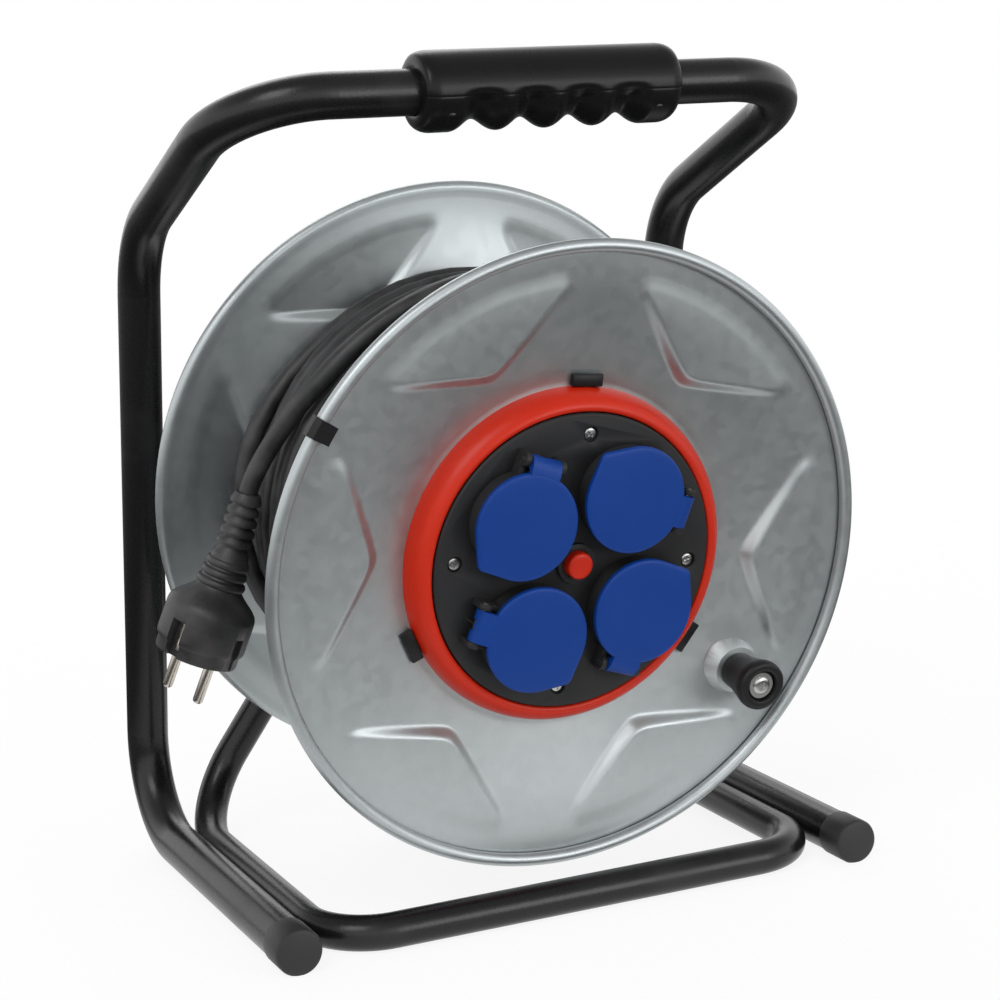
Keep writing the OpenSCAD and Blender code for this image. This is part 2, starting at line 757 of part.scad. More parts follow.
// ---- Thermal cut-out and its reset button ----
module thermal_cutout() {
    body_top = plate_under - 9;
    color([0.2, 0.2, 0.21]) on_drum() difference() {
        union() {
            translate([-8, -8, body_top - 26]) cube([16, 16, 26]);
            translate([0, 0, body_top]) cylinder(r = button_r + 2, h = 9);
        }
        translate([0, 0, body_top - button_travel - 1]) cylinder(r = button_r + fit, h = 20);
    }
}

module reset_button() {
    color([0.78, 0.1, 0.08]) on_drum() {
        translate([0, 0, plate_under - 9]) cylinder(r = button_r, h = button_top - plate_under + 9 - 0.8);
        translate([0, 0, button_top - 0.8]) cylinder(r1 = button_r, r2 = button_r - 0.8, h = 0.8);
    }
}

// ---- Rim clip and winding knob ----
clip_turn = 155;
clip_angle = 3.6;

// A clip snapped over the rim, open towards the axle where the sheet enters it
module rim_clip() {
    b = bead_d / 2 + 0.25;
    inner = cone_end_r - 2.4;
    color(plastic_black) on_drum() rotate([0, 0, clip_turn - clip_angle / 2])
        rotate_extrude(angle = clip_angle) difference() {
            polygon([
                [inner, -3.2 - sheet], [rim_r + 2, -b - 1.1], [rim_r + b + 1, -2], [rim_r + b + 1, 2],
                [rim_r + 2, b + 1.1], [inner, b + 0.6]
            ]);
            translate([rim_r, 0]) circle(r = b);
            polygon([
                [inner - 1, -1.3 - sheet], [rim_r, -1.3 - sheet], [rim_r, 1.9], [cone_end_r + 0.6, 1.4],
                [cone_end_r - 0.3, 0.3], [inner - 1, -0.3]
            ]);
        }
}

knob_turn = 330;
knob_base = -3;
seat_top = knob_base - air;
knob_axle_r = 3;
knob_top = knob_base + knob_length;
washer_r = 7;

module at_knob() {
    on_drum() rotate([0, 0, knob_turn]) translate([knob_offset, 0, 0]) children();
}

// A pressed boss standing on the flange, its foot cut along the dish
module knob_seat() {
    gap = 0.15;
    color(zinc) at_knob() difference() {
        translate([0, 0, -dish]) cylinder(r1 = 19.5, r2 = 11, h = dish + seat_top);
        translate([-knob_offset, 0, 0]) rotate_extrude() polygon([
            [flat_r, -3 * dish], [cone_end_r, -3 * dish], [cone_end_r, gap], [flat_r, gap - dish]
        ]);
        translate([0, 0, -20]) cylinder(r = knob_axle_r + fit, h = 30);
    }
}

module knob_axle() {
    color(bright_steel) at_knob() difference() {
        union() {
            translate([0, 0, seat_top - 1]) cylinder(r = knob_axle_r, h = knob_top - seat_top - 2);
            translate([0, 0, knob_top - 3]) cylinder(r = washer_r, h = 1.2);
            translate([0, 0, knob_top - 1.8]) cylinder(r1 = 4, r2 = 3, h = 1.2);
        }
        for (a = [0, 90]) rotate([0, 0, a]) translate([-1.8, -0.4, knob_top - 1.2]) cube([3.6, 0.8, 2]);
    }
}

module knob_nut() {
    color(bright_steel) at_knob() translate([0, 0, cone_z(knob_offset) - sheet - 6.5])
        cylinder(r = 6, h = 5, $fn = 6);
}

module winding_knob() {
    color(plastic_black) at_knob() difference() {
        rotate_extrude() polygon([
            [0, knob_base], [knob_foot_r - 0.5, knob_base], [knob_foot_r, knob_base + 0.6],
            [knob_foot_r + 0.3, knob_base + 6], [knob_head_r - 0.6, knob_top - 7],
            [knob_head_r, knob_top - 4.5], [knob_head_r, knob_top - 1.6],
            [knob_head_r - 1.4, knob_top], [0, knob_top]
        ]);
        translate([0, 0, knob_base - 1]) cylinder(r = knob_axle_r + fit, h = knob_length + 2);
        translate([0, 0, knob_top - 3.3]) cylinder(r = washer_r + 0.3, h = 4);
    }
}

// ---- Cable: sweeps of a round section along a list of points ----
// Frame vectors of a ring: outward from the axle, and along it
function ring_points(centre, along, r, sides) =
    let (out = unit(cross(along, [0, 0, 1])), up = cross(out, along))
    [for (k = [0:sides - 1]) centre + r * (up * cos(360 * k / sides) + out * sin(360 * k / sides))];

function sweep_faces(rings, sides) =
    let (end = (rings - 1) * sides)
    concat(
        [for (k = [1:sides - 2]) [0, k, k + 1]],
        [for (i = [0:rings - 2], k = [0:sides - 1])
            let (a = i * sides + k, b = i * sides + (k + 1) % sides, c = b + sides, d = a + sides)
            each [[a, d, b], [b, d, c]]],
        [for (k = [1:sides - 2]) [end, end + k + 1, end + k]]);

// Direction of the route at point i, with given directions at both ends
function heading(p, i, first, last) =
    i == 0 ? first : i == len(p) - 1 ? last : unit(unit(p[i] - p[i - 1]) + unit(p[i + 1] - p[i]));

module swept(route, radii, sides, first, last) {
    points = [for (i = [0:len(route) - 1])
        each ring_points(route[i], heading(route, i, first, last), radii[i], sides)];
    polyhedron(points = points, faces = sweep_faces(len(route), sides));
}

function polar(p) = [p[0] * cos(p[1]), p[0] * sin(p[1]), p[2]];

cable_r = cable_d / 2;
pack_r = core_r + air + under_layers;
wind_r = pack_r + 0.5 + cable_r;
wind_room = drum_width + 2 * cone_z(wind_r - cable_r) - 2 * sheet;
wind_turns = min(24, floor((wind_room - cable_d - 2) / wind_pitch));
wind_start_z = -drum_width / 2 - wind_turns * wind_pitch / 2;
wind_end_z = wind_start_z + wind_turns * wind_pitch;
loop_rings = 24;

// The outer layer: plain turns, and one diameter of straight cable at both ends
wind_route = concat(
    [[wind_r, -cable_d, wind_start_z]],
    [for (k = [0:wind_turns * loop_rings])
        polar([wind_r, 360 * k / loop_rings, wind_start_z + wind_pitch * k / loop_rings])],
    [[wind_r, cable_d, wind_end_z]]);

function wind_ring(i) = ring_points(
    wind_route[i],
    i == 0 || i == len(wind_route) - 1 ? [0, 1, 0] :
        [-sin(360 * (i - 1) / loop_rings), cos(360 * (i - 1) / loop_rings), 0],
    cable_r, 6);
wind_rings = [for (i = [0:len(wind_route) - 1]) wind_ring(i)];

// Least distance between points of neighbouring loops
wind_gap = min([for (i = [0:len(wind_rings) - 1], j = [i + loop_rings - 2:i + loop_rings + 2])
    if (j < len(wind_rings)) for (p = wind_rings[i], q = wind_rings[j]) norm(p - q)]);
echo(least_gap_between_loops = wind_gap);

module cable_winding() {
    color([0.15, 0.15, 0.16]) on_drum()
        polyhedron(
            points = [for (ring = wind_rings) each ring],
            faces = sweep_faces(len(wind_rings), 6));
}

// The layers below, as one plain body, with the cable rising out of it to the outer layer
module cable_pack() {
    rise_bend = 60;
    inner = core_r + air;
    margin = sheet + air;
    color([0.15, 0.15, 0.16]) on_drum() {
        rotate_extrude() polygon([
            [inner, -dish - margin], [flat_r, -dish - margin], [pack_r, cone_z(pack_r) - margin],
            [pack_r, -drum_width - cone_z(pack_r) + margin], [flat_r, -rear_face + margin],
            [inner, -rear_face + margin]
        ]);
        translate([wind_r - rise_bend, -cable_d, wind_start_z - 0.25]) rotate([0, 0, -65])
            rotate_extrude(angle = 65) translate([rise_bend, 0]) circle(r = cable_r - 0.3);
    }
}

// The lead's route as [distance from the axle, angle, depth], from the last turn to the plug
lead_points = [
    [105, 12, -16], [109, 20, -16], [112.5, 30, -19], [112.5, 42, -29], [112.5, 54, -41],
    [112.5, 66, -53], [112.5, 78, -65], [112.5, 90, -74], [112.5, 102, -79], [112.5, 114, -80],
    [112.5, 126, -80], [112.5, 138, -80], [113, 148, -83], [113, 158, -89], [113.5, 168, -94],
    [114, 175, -96.5], [114, 180, -97]
];
lead_route = concat([[wind_r, cable_d, wind_end_z]], [for (p = lead_points) polar(p)]);

module cable_lead() {
    color([0.15, 0.15, 0.16]) on_drum()
        swept(lead_route, [for (p = lead_route) cable_r], 10, [0, 1, 0], [0, -1, 0]);
}

// ---- Plug: in its own frame, with Z out of its face along the pins ----
plug_turn = 249;
plug_roll = 135;
plug_length = 51;
plug_neck = [119, 193, -97];
plug_axis = [cos(plug_turn), sin(plug_turn), 0];

relief_points = [
    [114, 180], [114, 181.4], [114, 182], [114.2, 183.6], [114.3, 184.2], [114.7, 185.8],
    [114.9, 186.4], [115.6, 188], [115.9, 188.6], [116.8, 190.2], [117.2, 190.8], [119, 193]
];

module plug_relief() {
    route = [for (p = relief_points) polar([p[0], p[1], plug_neck[2]])];
    color(plastic_black) on_drum() swept(
        route, [6, 6, 7, 7, 6.2, 6.2, 7.2, 7.2, 6.6, 6.6, 7.6, 8], 10, [0, -1, 0], plug_axis);
}

module on_plug() {
    on_drum() translate(polar(plug_neck) + plug_axis * plug_length) rotate([0, 0, plug_turn])
        rotate([0, 90, 0]) rotate([0, 0, plug_roll]) children();
}

module plug_body() {
    color(plastic_black) on_plug() difference() {
        rotate_extrude() polygon([
            [0, 0], [18.4, 0], [19.2, -0.8], [19.2, -6], [20.6, -7.5], [20.8, -24], [20, -28],
            [17, -33], [13.4, -37.5], [12, -43], [11, -50], [10, -plug_length], [0, -plug_length]
        ]);
        for (s = [-1, 1]) translate([s * pin_spacing / 2, 0, -8]) cylinder(r = 2.4 + fit, h = 9);
        for (s = [-1, 1]) translate([-3.2, s * 18.6 - 1.4, -17]) cube([6.4, 2.8, 18]);
    }
}

module plug_pins() {
    color(bright_steel) on_plug() for (s = [-1, 1]) translate([s * pin_spacing / 2, 0, 0]) {
        translate([0, 0, -7]) cylinder(r = 2.4, h = 7 + pin_length - 1.2);
        translate([0, 0, pin_length - 1.2]) cylinder(r1 = 2.4, r2 = 1.4, h = 1.2);
    }
}

module plug_earth_strips() {
    color(bright_steel) on_plug() for (s = [-1, 1])
        translate([-2.8, s * 18.4 - 0.4, -16.5]) cube([5.6, 0.8, 16]);
}

hoop_tube();
inner_frame_tube();
axle_plate();
axle_spindle();
spindle_bolts();
spindle_nuts();
spindle_retainer();
foot_cap_left();
foot_cap_right();
grip_upper_shell();
grip_lower_shell();
grip_screws();
front_flange();
rear_flange();
drum_core();
hub_carrier();
hub_bushes();
hub_rivets();
socket_housing();
socket_ring();
ring_latches();
socket_plate();
plate_screws();
socket_insert_1();
socket_insert_2();
socket_insert_3();
socket_insert_4();
socket_contacts();
earth_clips();
socket_lid_1();
socket_lid_2();
socket_lid_3();
socket_lid_4();
lid_pins();
lid_springs();
thermal_cutout();
reset_button();
rim_clip();
knob_seat();
knob_axle();
knob_nut();
winding_knob();
cable_pack();
cable_winding();
cable_lead();
plug_relief();
plug_body();
plug_pins();
plug_earth_strips();
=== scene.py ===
"""Extension cord reel: a sheet-steel cable drum with four lidded sockets on a leaning stand.

Pieces are modelled in millimetres, in the frame of what carries them, and are then put in
their place in metres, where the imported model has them.
"""

import json
import logging
import math
from dataclasses import dataclass, field
from enum import Enum
from typing import Any, Callable, Iterable, Sequence

import bmesh
import bpy
from mathutils import Matrix, Vector

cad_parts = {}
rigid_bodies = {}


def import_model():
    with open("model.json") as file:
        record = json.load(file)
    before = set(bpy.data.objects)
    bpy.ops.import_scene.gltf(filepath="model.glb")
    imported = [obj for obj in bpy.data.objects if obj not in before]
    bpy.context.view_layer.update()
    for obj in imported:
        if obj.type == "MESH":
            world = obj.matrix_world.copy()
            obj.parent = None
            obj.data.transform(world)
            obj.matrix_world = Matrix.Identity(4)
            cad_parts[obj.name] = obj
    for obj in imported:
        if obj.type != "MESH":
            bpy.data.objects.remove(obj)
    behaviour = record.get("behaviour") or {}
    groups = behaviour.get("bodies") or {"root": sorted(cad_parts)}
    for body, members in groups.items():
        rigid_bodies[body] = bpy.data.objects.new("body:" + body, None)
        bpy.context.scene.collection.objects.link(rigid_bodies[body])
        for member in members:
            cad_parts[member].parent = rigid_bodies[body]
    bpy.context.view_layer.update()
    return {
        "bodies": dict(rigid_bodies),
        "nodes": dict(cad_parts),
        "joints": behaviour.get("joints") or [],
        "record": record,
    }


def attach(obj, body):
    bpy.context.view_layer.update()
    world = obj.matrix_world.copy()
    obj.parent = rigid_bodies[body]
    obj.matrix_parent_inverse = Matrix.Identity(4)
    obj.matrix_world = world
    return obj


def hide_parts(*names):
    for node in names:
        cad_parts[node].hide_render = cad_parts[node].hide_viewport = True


LOG = logging.getLogger("cord_reel")
TO_METRES = Matrix.Scale(0.001, 4)

Pair = tuple[float, float]
Triple = tuple[float, float, float]


class Slot(Enum):
    """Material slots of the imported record."""

    COATED_STEEL = "coated_steel"
    ZINC_SHEET = "zinc_sheet"
    BRIGHT_STEEL = "bright_steel"
    PIN_METAL = "pin_metal"
    BLACK_PLASTIC = "black_plastic"
    DARK_PLASTIC = "dark_plastic"
    NYLON = "nylon"
    RED_PLASTIC = "red_plastic"
    BLUE_PLASTIC = "blue_plastic"
    RUBBER = "rubber"
    BRASS = "brass"


class Body(Enum):
    """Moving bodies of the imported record."""

    STAND = "stand"
    DRUM = "drum"
    BUTTON = "button"
    KNOB = "knob"
    LID_1 = "lid_1"
    LID_2 = "lid_2"
    LID_3 = "lid_3"
    LID_4 = "lid_4"


LID_BODIES = (Body.LID_1, Body.LID_2, Body.LID_3, Body.LID_4)


# ---- Places ----


def turn(degrees: float, axis: str) -> Matrix:
    """A turn about one axis."""
    return Matrix.Rotation(math.radians(degrees), 4, axis)


def shift(x: float = 0.0, y: float = 0.0, z: float = 0.0) -> Matrix:
    """A move without a turn."""
    return Matrix.Translation((x, y, z))


def polar(radius: float, degrees: float, z: float = 0.0) -> Vector:
    """A point given by its distance from the axle, its angle and its height."""
    angle = math.radians(degrees)
    return Vector((radius * math.cos(angle), radius * math.sin(angle), z))


@dataclass(frozen=True)
class Places:
    """Frames of the leaning stand and of all that it carries, in millimetres."""

    frame_y: float = 108.276
    tube_radius: float = 10.0
    lean: float = 7.3
    rim_y: float = -179.0
    axle_height: float = 175.0
    drum_phase: float = -6.0
    socket_phase: float = 58.0
    socket_offset: float = 37.5
    hinge_turn: float = -71.0
    knob_turn: float = 330.0
    knob_offset: float = 111.0
    handle_height: float = 377.0
    handle_reach: float = 128.0
    grip_shift: float = 3.0
    plug_turn: float = 255.5
    plug_roll: float = 150.0
    plug_length: float = 51.0
    plug_neck: Triple = (126.0, 191.0, -97.0)

    @property
    def leaning(self) -> Matrix:
        """Frame of the legs, from the middle between the feet's corners."""
        return shift(0, self.frame_y, self.tube_radius) @ turn(self.lean, "X")

    @property
    def drum(self) -> Matrix:
        """Frame of the drum, with Z out of its front along the axle."""
        at_axle = self.leaning @ shift(0, self.rim_y, self.axle_height)
        return at_axle @ turn(90, "X") @ turn(self.drum_phase, "Z")

    @property
    def bar(self) -> Matrix:
        """Frame of the handle bar at the middle of the grip."""
        return self.leaning @ shift(self.grip_shift, -self.handle_reach, self.handle_height)

    @property
    def knob(self) -> Matrix:
        """Frame of the winding knob."""
        return self.drum @ turn(self.knob_turn, "Z") @ shift(self.knob_offset)

    @property
    def plug(self) -> Matrix:
        """Frame of the plug, with Z out of its face along the pins.

        Returns:
            The frame, in millimetres.
        """
        along = polar(self.plug_length, self.plug_turn)
        face = polar(*self.plug_neck) + along
        tilted = Matrix.Translation(face) @ turn(self.plug_turn, "Z") @ turn(90, "Y")
        return self.drum @ tilted @ turn(self.plug_roll, "Z")

    def socket(self, index: int) -> Matrix:
        """Frame of a socket on the plate, with X towards its lid's hinge."""
        out = turn(self.socket_phase + 90 * index, "Z") @ shift(self.socket_offset)
        return self.drum @ out @ turn(self.hinge_turn, "Z")


PLACES = Places()


# ---- Shader graphs ----


class Tap:
    """An output socket of a shader graph, with arithmetic."""

    def __init__(self, graph: "Graph", socket: bpy.types.NodeSocket) -> None:
        """Keeps the socket and the graph that it belongs to."""
        self.graph = graph
        self.socket = socket

    def out(self, name: str) -> "Tap":
        """Another output of the same node."""
        return Tap(self.graph, self.socket.node.outputs[name])

    def __add__(self, other: "Tap | float") -> "Tap":
        """Sum."""
        return self.graph.maths("ADD", self, other)

    def __radd__(self, other: float) -> "Tap":
        """Sum with a number on the left."""
        return self.graph.maths("ADD", other, self)

    def __sub__(self, other: "Tap | float") -> "Tap":
        """Difference."""
        return self.graph.maths("SUBTRACT", self, other)

    def __rsub__(self, other: float) -> "Tap":
        """Difference with a number on the left."""
        return self.graph.maths("SUBTRACT", other, self)

    def __mul__(self, other: "Tap | float") -> "Tap":
        """Product."""
        return self.graph.maths("MULTIPLY", self, other)

    def __rmul__(self, other: float) -> "Tap":
        """Product with a number on the left."""
        return self.graph.maths("MULTIPLY", other, self)


class Graph:
    """The node tree of one material or of the world."""

    def __init__(self, owner: bpy.types.Material | bpy.types.World) -> None:
        """Starts from an empty tree.

        Args:
            owner: the material or world that the tree belongs to.
        """
        owner.use_nodes = True
        self.tree = owner.node_tree
        self.tree.nodes.clear()

    def feed(self, socket: bpy.types.NodeSocket, value: Any) -> None:
        """Links a tap to a socket, or sets the socket's own value.

        Args:
            socket: the input to fill.
            value: a tap, a number, or a colour or vector as a tuple.
        """
        if isinstance(value, Tap):
            self.tree.links.new(value.socket, socket)
        elif isinstance(value, tuple) and socket.type == "RGBA" and len(value) == 3:
            socket.default_value = (*value, 1.0)
        else:
            socket.default_value = value

    def node(
        self,
        kind: str,
        settings: dict[str, Any] | None = None,
        inputs: dict[str | int, Any] | None = None,
        output: str | int = 0,
    ) -> Tap:
        """Adds a node.

        Args:
            kind: the node's type, without the common start of its name.
            settings: attributes set first; "stops" gives a ramp's stops.
            inputs: values or taps by socket name or number.
            output: the output that the returned tap stands for.

        Returns:
            The tap on that output.
        """
        made = self.tree.nodes.new("ShaderNode" + kind)
        for key, value in (settings or {}).items():
            if key == "stops":
                self.set_stops(made.color_ramp, value)
            else:
                setattr(made, key, value)
        for key, value in (inputs or {}).items():
            self.feed(made.inputs[key], value)
        if not made.outputs:
            return Tap(self, made.inputs[0])
        return Tap(self, made.outputs[output])

    @staticmethod
    def set_stops(ramp: bpy.types.ColorRamp, stops: Sequence[Pair]) -> None:
        """Gives a ramp grey stops.

        Args:
            ramp: the ramp to fill.
            stops: its stops as (position, value).
        """
        while len(ramp.elements) < len(stops):
            ramp.elements.new(0.5)
        for element, (position, value) in zip(ramp.elements, stops):
            element.position = position
            element.color = (value, value, value, 1.0)

    def maths(self, operation: str, a: "Tap | float", b: "Tap | float") -> Tap:
        """One Math node."""
        return self.node("Math", {"operation": operation}, {0: a, 1: b})

    def mixed(self, factor: "Tap | float", a: Any, b: Any) -> Tap:
        """Mixes two colours."""
        return self.node("Mix", {"data_type": "RGBA"}, {0: factor, 6: a, 7: b}, 2)

    def noise(self, scale: float, detail: float, vector: Tap | None = None) -> Tap:
        """Adds noise.

        Args:
            scale: fineness of the noise; larger is finer.
            detail: how many finer layers lie over it.
            vector: the coordinates, or None for the piece's own.

        Returns:
            The noise, about 0 to 1.
        """
        where = vector or self.node("TexCoord", output="Object")
        inputs = {"Vector": where, "Scale": scale, "Detail": detail}
        return self.node("TexNoise", None, inputs, "Fac")

    def bump(self, height: Tap, strength: float, distance: float) -> Tap:
        """A normal shaken by a height."""
        inputs = {"Height": height, "Strength": strength, "Distance": distance}
        return self.node("Bump", None, inputs, "Normal")

    def surface(self, inputs: dict[str | int, Any]) -> None:
        """Ends the graph in a principled shader."""
        shader = self.node("BsdfPrincipled", None, inputs, "BSDF")
        self.node("OutputMaterial", None, {"Surface": shader})


# ---- Finishes ----


@dataclass(frozen=True)
class Finish:
    """A named finish; its material is made once and shared."""

    name: str
    slot: Slot

    def material(self) -> bpy.types.Material:
        """The material of this finish, made at first use.

        Returns:
            The material.
        """
        known = bpy.data.materials.get(self.name)
        if known:
            return known
        made = bpy.data.materials.new(self.name)
        self.dress(Graph(made))
        return made

    def dress(self, graph: Graph) -> None:
        """Fills the material's graph."""
        raise NotImplementedError


@dataclass(frozen=True)
class PowderCoat(Finish):
    """Baked powder paint on steel, with its orange-peel skin and rubbed places."""

    colour: Triple = (0.0085, 0.0083, 0.0090)
    rubbed: Triple = (0.019, 0.0185, 0.020)
    roughness: float = 0.27
    gloss: float = 0.36
    peel_scale: float = 520.0
    speck_scale: float = 2600.0
    patch_scale: float = 26.0
    worn_stops: tuple[Pair, Pair] = ((0.52, 0.0), (0.74, 1.0))

    def dress(self, graph: Graph) -> None:
        """Orange peel, dust specks and rubbed patches.

        Args:
            graph: the empty graph to fill.
        """
        peel = graph.noise(self.peel_scale, 2.0)
        speck = graph.noise(self.speck_scale, 1.0)
        patch = graph.noise(self.patch_scale, 3.0)
        worn = graph.node("ValToRGB", {"stops": self.worn_stops}, {"Fac": patch})
        normal = graph.bump(peel + 0.35 * speck, 0.22, 0.00022)
        graph.surface({
            "Base Color": graph.mixed(worn, self.colour, self.rubbed),
            "Roughness": self.roughness + 0.10 * worn + 0.06 * (speck - 0.5),
            "Specular IOR Level": self.gloss,
            "Normal": normal,
        })


@dataclass(frozen=True)
class GalvanisedSheet(Finish):
    """Zinc-coated sheet with soft crystal flakes and fine drawing lines."""

    colour: Triple = (0.50, 0.535, 0.54)
    dull: Triple = (0.42, 0.452, 0.458)
    roughness: float = 0.42
    metallic: float = 0.88
    flake_scale: float = 230.0
    cloud_scale: float = 22.0
    grain_scale: float = 1500.0
    line_scale: Triple = (60.0, 900.0, 900.0)

    def dress(self, graph: Graph) -> None:
        """Flakes, rolling lines, and clouds of handling.

        Args:
            graph: the empty graph to fill.
        """
        where = graph.node("TexCoord", output="Object")
        crystals = graph.node(
            "TexVoronoi", {"feature": "F1"}, {"Vector": where, "Scale": self.flake_scale}, "Color"
        )
        flake = graph.node("SeparateColor", None, {"Color": crystals}, "Red")
        cloud = graph.noise(self.cloud_scale, 4.0)
        grain = graph.noise(self.grain_scale, 3.0)
        stretched = graph.node("Mapping", None, {"Vector": where, "Scale": self.line_scale})
        lines = graph.noise(1.0, 3.0, stretched)
        tone = 0.25 * flake + 0.45 * cloud + 0.30 * grain
        graph.surface({
            "Base Color": graph.mixed(tone, self.dull, self.colour),
            "Metallic": self.metallic,
            "Roughness": self.roughness + 0.08 * (cloud - 0.5) + 0.04 * (flake - 0.5),
            "Normal": graph.bump(0.5 * grain + 0.35 * lines + 0.12 * flake, 0.12, 0.00010),
        })


@dataclass(frozen=True)
class Moulded(Finish):
    """Moulded plastic with a fine spark-eroded grain."""

    colour: Triple = (0.008, 0.008, 0.009)
    pale: Triple = (0.014, 0.014, 0.0155)
    roughness: float = 0.42
    grain: float = 0.16
    gloss: float = 0.25
    grain_scale: float = 1900.0
    cloud_scale: float = 45.0

    def dress(self, graph: Graph) -> None:
        """Grain and soft flow clouds.

        Args:
            graph: the empty graph to fill.
        """
        grain = graph.noise(self.grain_scale, 2.0)
        cloud = graph.noise(self.cloud_scale, 3.0)
        graph.surface({
            "Base Color": graph.mixed(0.25 + 0.5 * cloud, self.colour, self.pale),
            "Roughness": self.roughness + 0.10 * (cloud - 0.5) + 0.08 * (grain - 0.5),
            "Specular IOR Level": self.gloss,
            "Normal": graph.bump(grain, self.grain, 0.00015),
        })


@dataclass(frozen=True)
class Rubber(Finish):
    """Extruded rubber with dust in its skin."""

    colour: Triple = (0.024, 0.024, 0.0255)
    dusty: Triple = (0.072, 0.072, 0.075)
    roughness: float = 0.42
    gloss: float = 0.5
    skin_scale: float = 1300.0
    dust_scale: float = 70.0
    worn_stops: tuple[Pair, Pair] = ((0.38, 0.0), (0.78, 1.0))

    def dress(self, graph: Graph) -> None:
        """Matt skin with chalky rubbing.

        Args:
            graph: the empty graph to fill.
        """
        skin = graph.noise(self.skin_scale, 4.0)
        dust = graph.noise(self.dust_scale, 5.0)
        worn = graph.node("ValToRGB", {"stops": self.worn_stops}, {"Fac": dust})
        graph.surface({
            "Base Color": graph.mixed(worn, self.colour, self.dusty),
            "Roughness": self.roughness + 0.14 * worn + 0.06 * (skin - 0.5),
            "Specular IOR Level": self.gloss,
            "Normal": graph.bump(skin, 0.28, 0.00018),
        })


@dataclass(frozen=True)
class BareMetal(Finish):
    """Plated or turned metal with fine tool marks."""

    colour: Triple = (0.60, 0.60, 0.59)
    stained: Triple = (0.42, 0.42, 0.41)
    roughness: float = 0.24
    marks_scale: float = 3200.0
    stain_scale: float = 160.0

    def dress(self, graph: Graph) -> None:
        """Tool marks and light staining.

        Args:
            graph: the empty graph to fill.
        """
        marks = graph.noise(self.marks_scale, 2.0)
        stain = graph.noise(self.stain_scale, 4.0)
        graph.surface({
            "Base Color": graph.mixed(stain, self.colour, self.stained),
            "Metallic": 1.0,
            "Roughness": self.roughness + 0.14 * (stain - 0.4) + 0.05 * marks,
            "Normal": graph.bump(marks, 0.1, 0.0001),
        })


@dataclass(frozen=True)
class Finishes:
    """All finishes of the reel."""

    coat: Finish = PowderCoat("black_powder_coat", Slot.COATED_STEEL)
    sheet: Finish = GalvanisedSheet("galvanised_sheet", Slot.ZINC_SHEET)
    steel: Finish = BareMetal("bright_zinc_steel", Slot.BRIGHT_STEEL)
    blackened: Finish = BareMetal(
        "blackened_steel", Slot.BRIGHT_STEEL, (0.07, 0.07, 0.072), (0.04, 0.04, 0.042), 0.36
    )
    pin: Finish = BareMetal(
        "nickelled_pin", Slot.PIN_METAL, (0.62, 0.58, 0.52), (0.45, 0.41, 0.36), 0.2
    )
    brass: Finish = BareMetal(
        "drawn_brass", Slot.BRASS, (0.62, 0.44, 0.16), (0.42, 0.28, 0.10), 0.28
    )
    black: Finish = Moulded("black_moulded_plastic", Slot.BLACK_PLASTIC)
    dark: Finish = Moulded(
        "dark_grey_moulded_plastic", Slot.DARK_PLASTIC,
        (0.020, 0.0205, 0.022), (0.029, 0.0295, 0.031), 0.5, 0.25, 0.25,
    )
    grip: Finish = Moulded(
        "grip_plastic", Slot.BLACK_PLASTIC,
        (0.006, 0.006, 0.0065), (0.010, 0.010, 0.011), 0.28, 0.2, 0.20,
    )
    red: Finish = Moulded(
        "orange_red_plastic", Slot.RED_PLASTIC,
        (0.60, 0.016, 0.002), (0.69, 0.028, 0.004), 0.36, 0.08, 0.3,
    )
    blue: Finish = Moulded(
        "deep_blue_plastic", Slot.BLUE_PLASTIC,
        (0.0015, 0.041, 0.255), (0.003, 0.051, 0.300), 0.42, 0.12, 0.25,
    )
    cap: Finish = Moulded(
        "foot_cap_plastic", Slot.BLACK_PLASTIC,
        (0.022, 0.022, 0.024), (0.034, 0.034, 0.036), 0.5, 0.2, 0.35,
    )
    nylon: Finish = Moulded(
        "cream_nylon", Slot.NYLON, (0.62, 0.58, 0.47), (0.70, 0.66, 0.55), 0.45, 0.1
    )
    rubber: Finish = Rubber("black_rubber", Slot.RUBBER)


FINISHES = Finishes()


# ---- Modelling moves ----


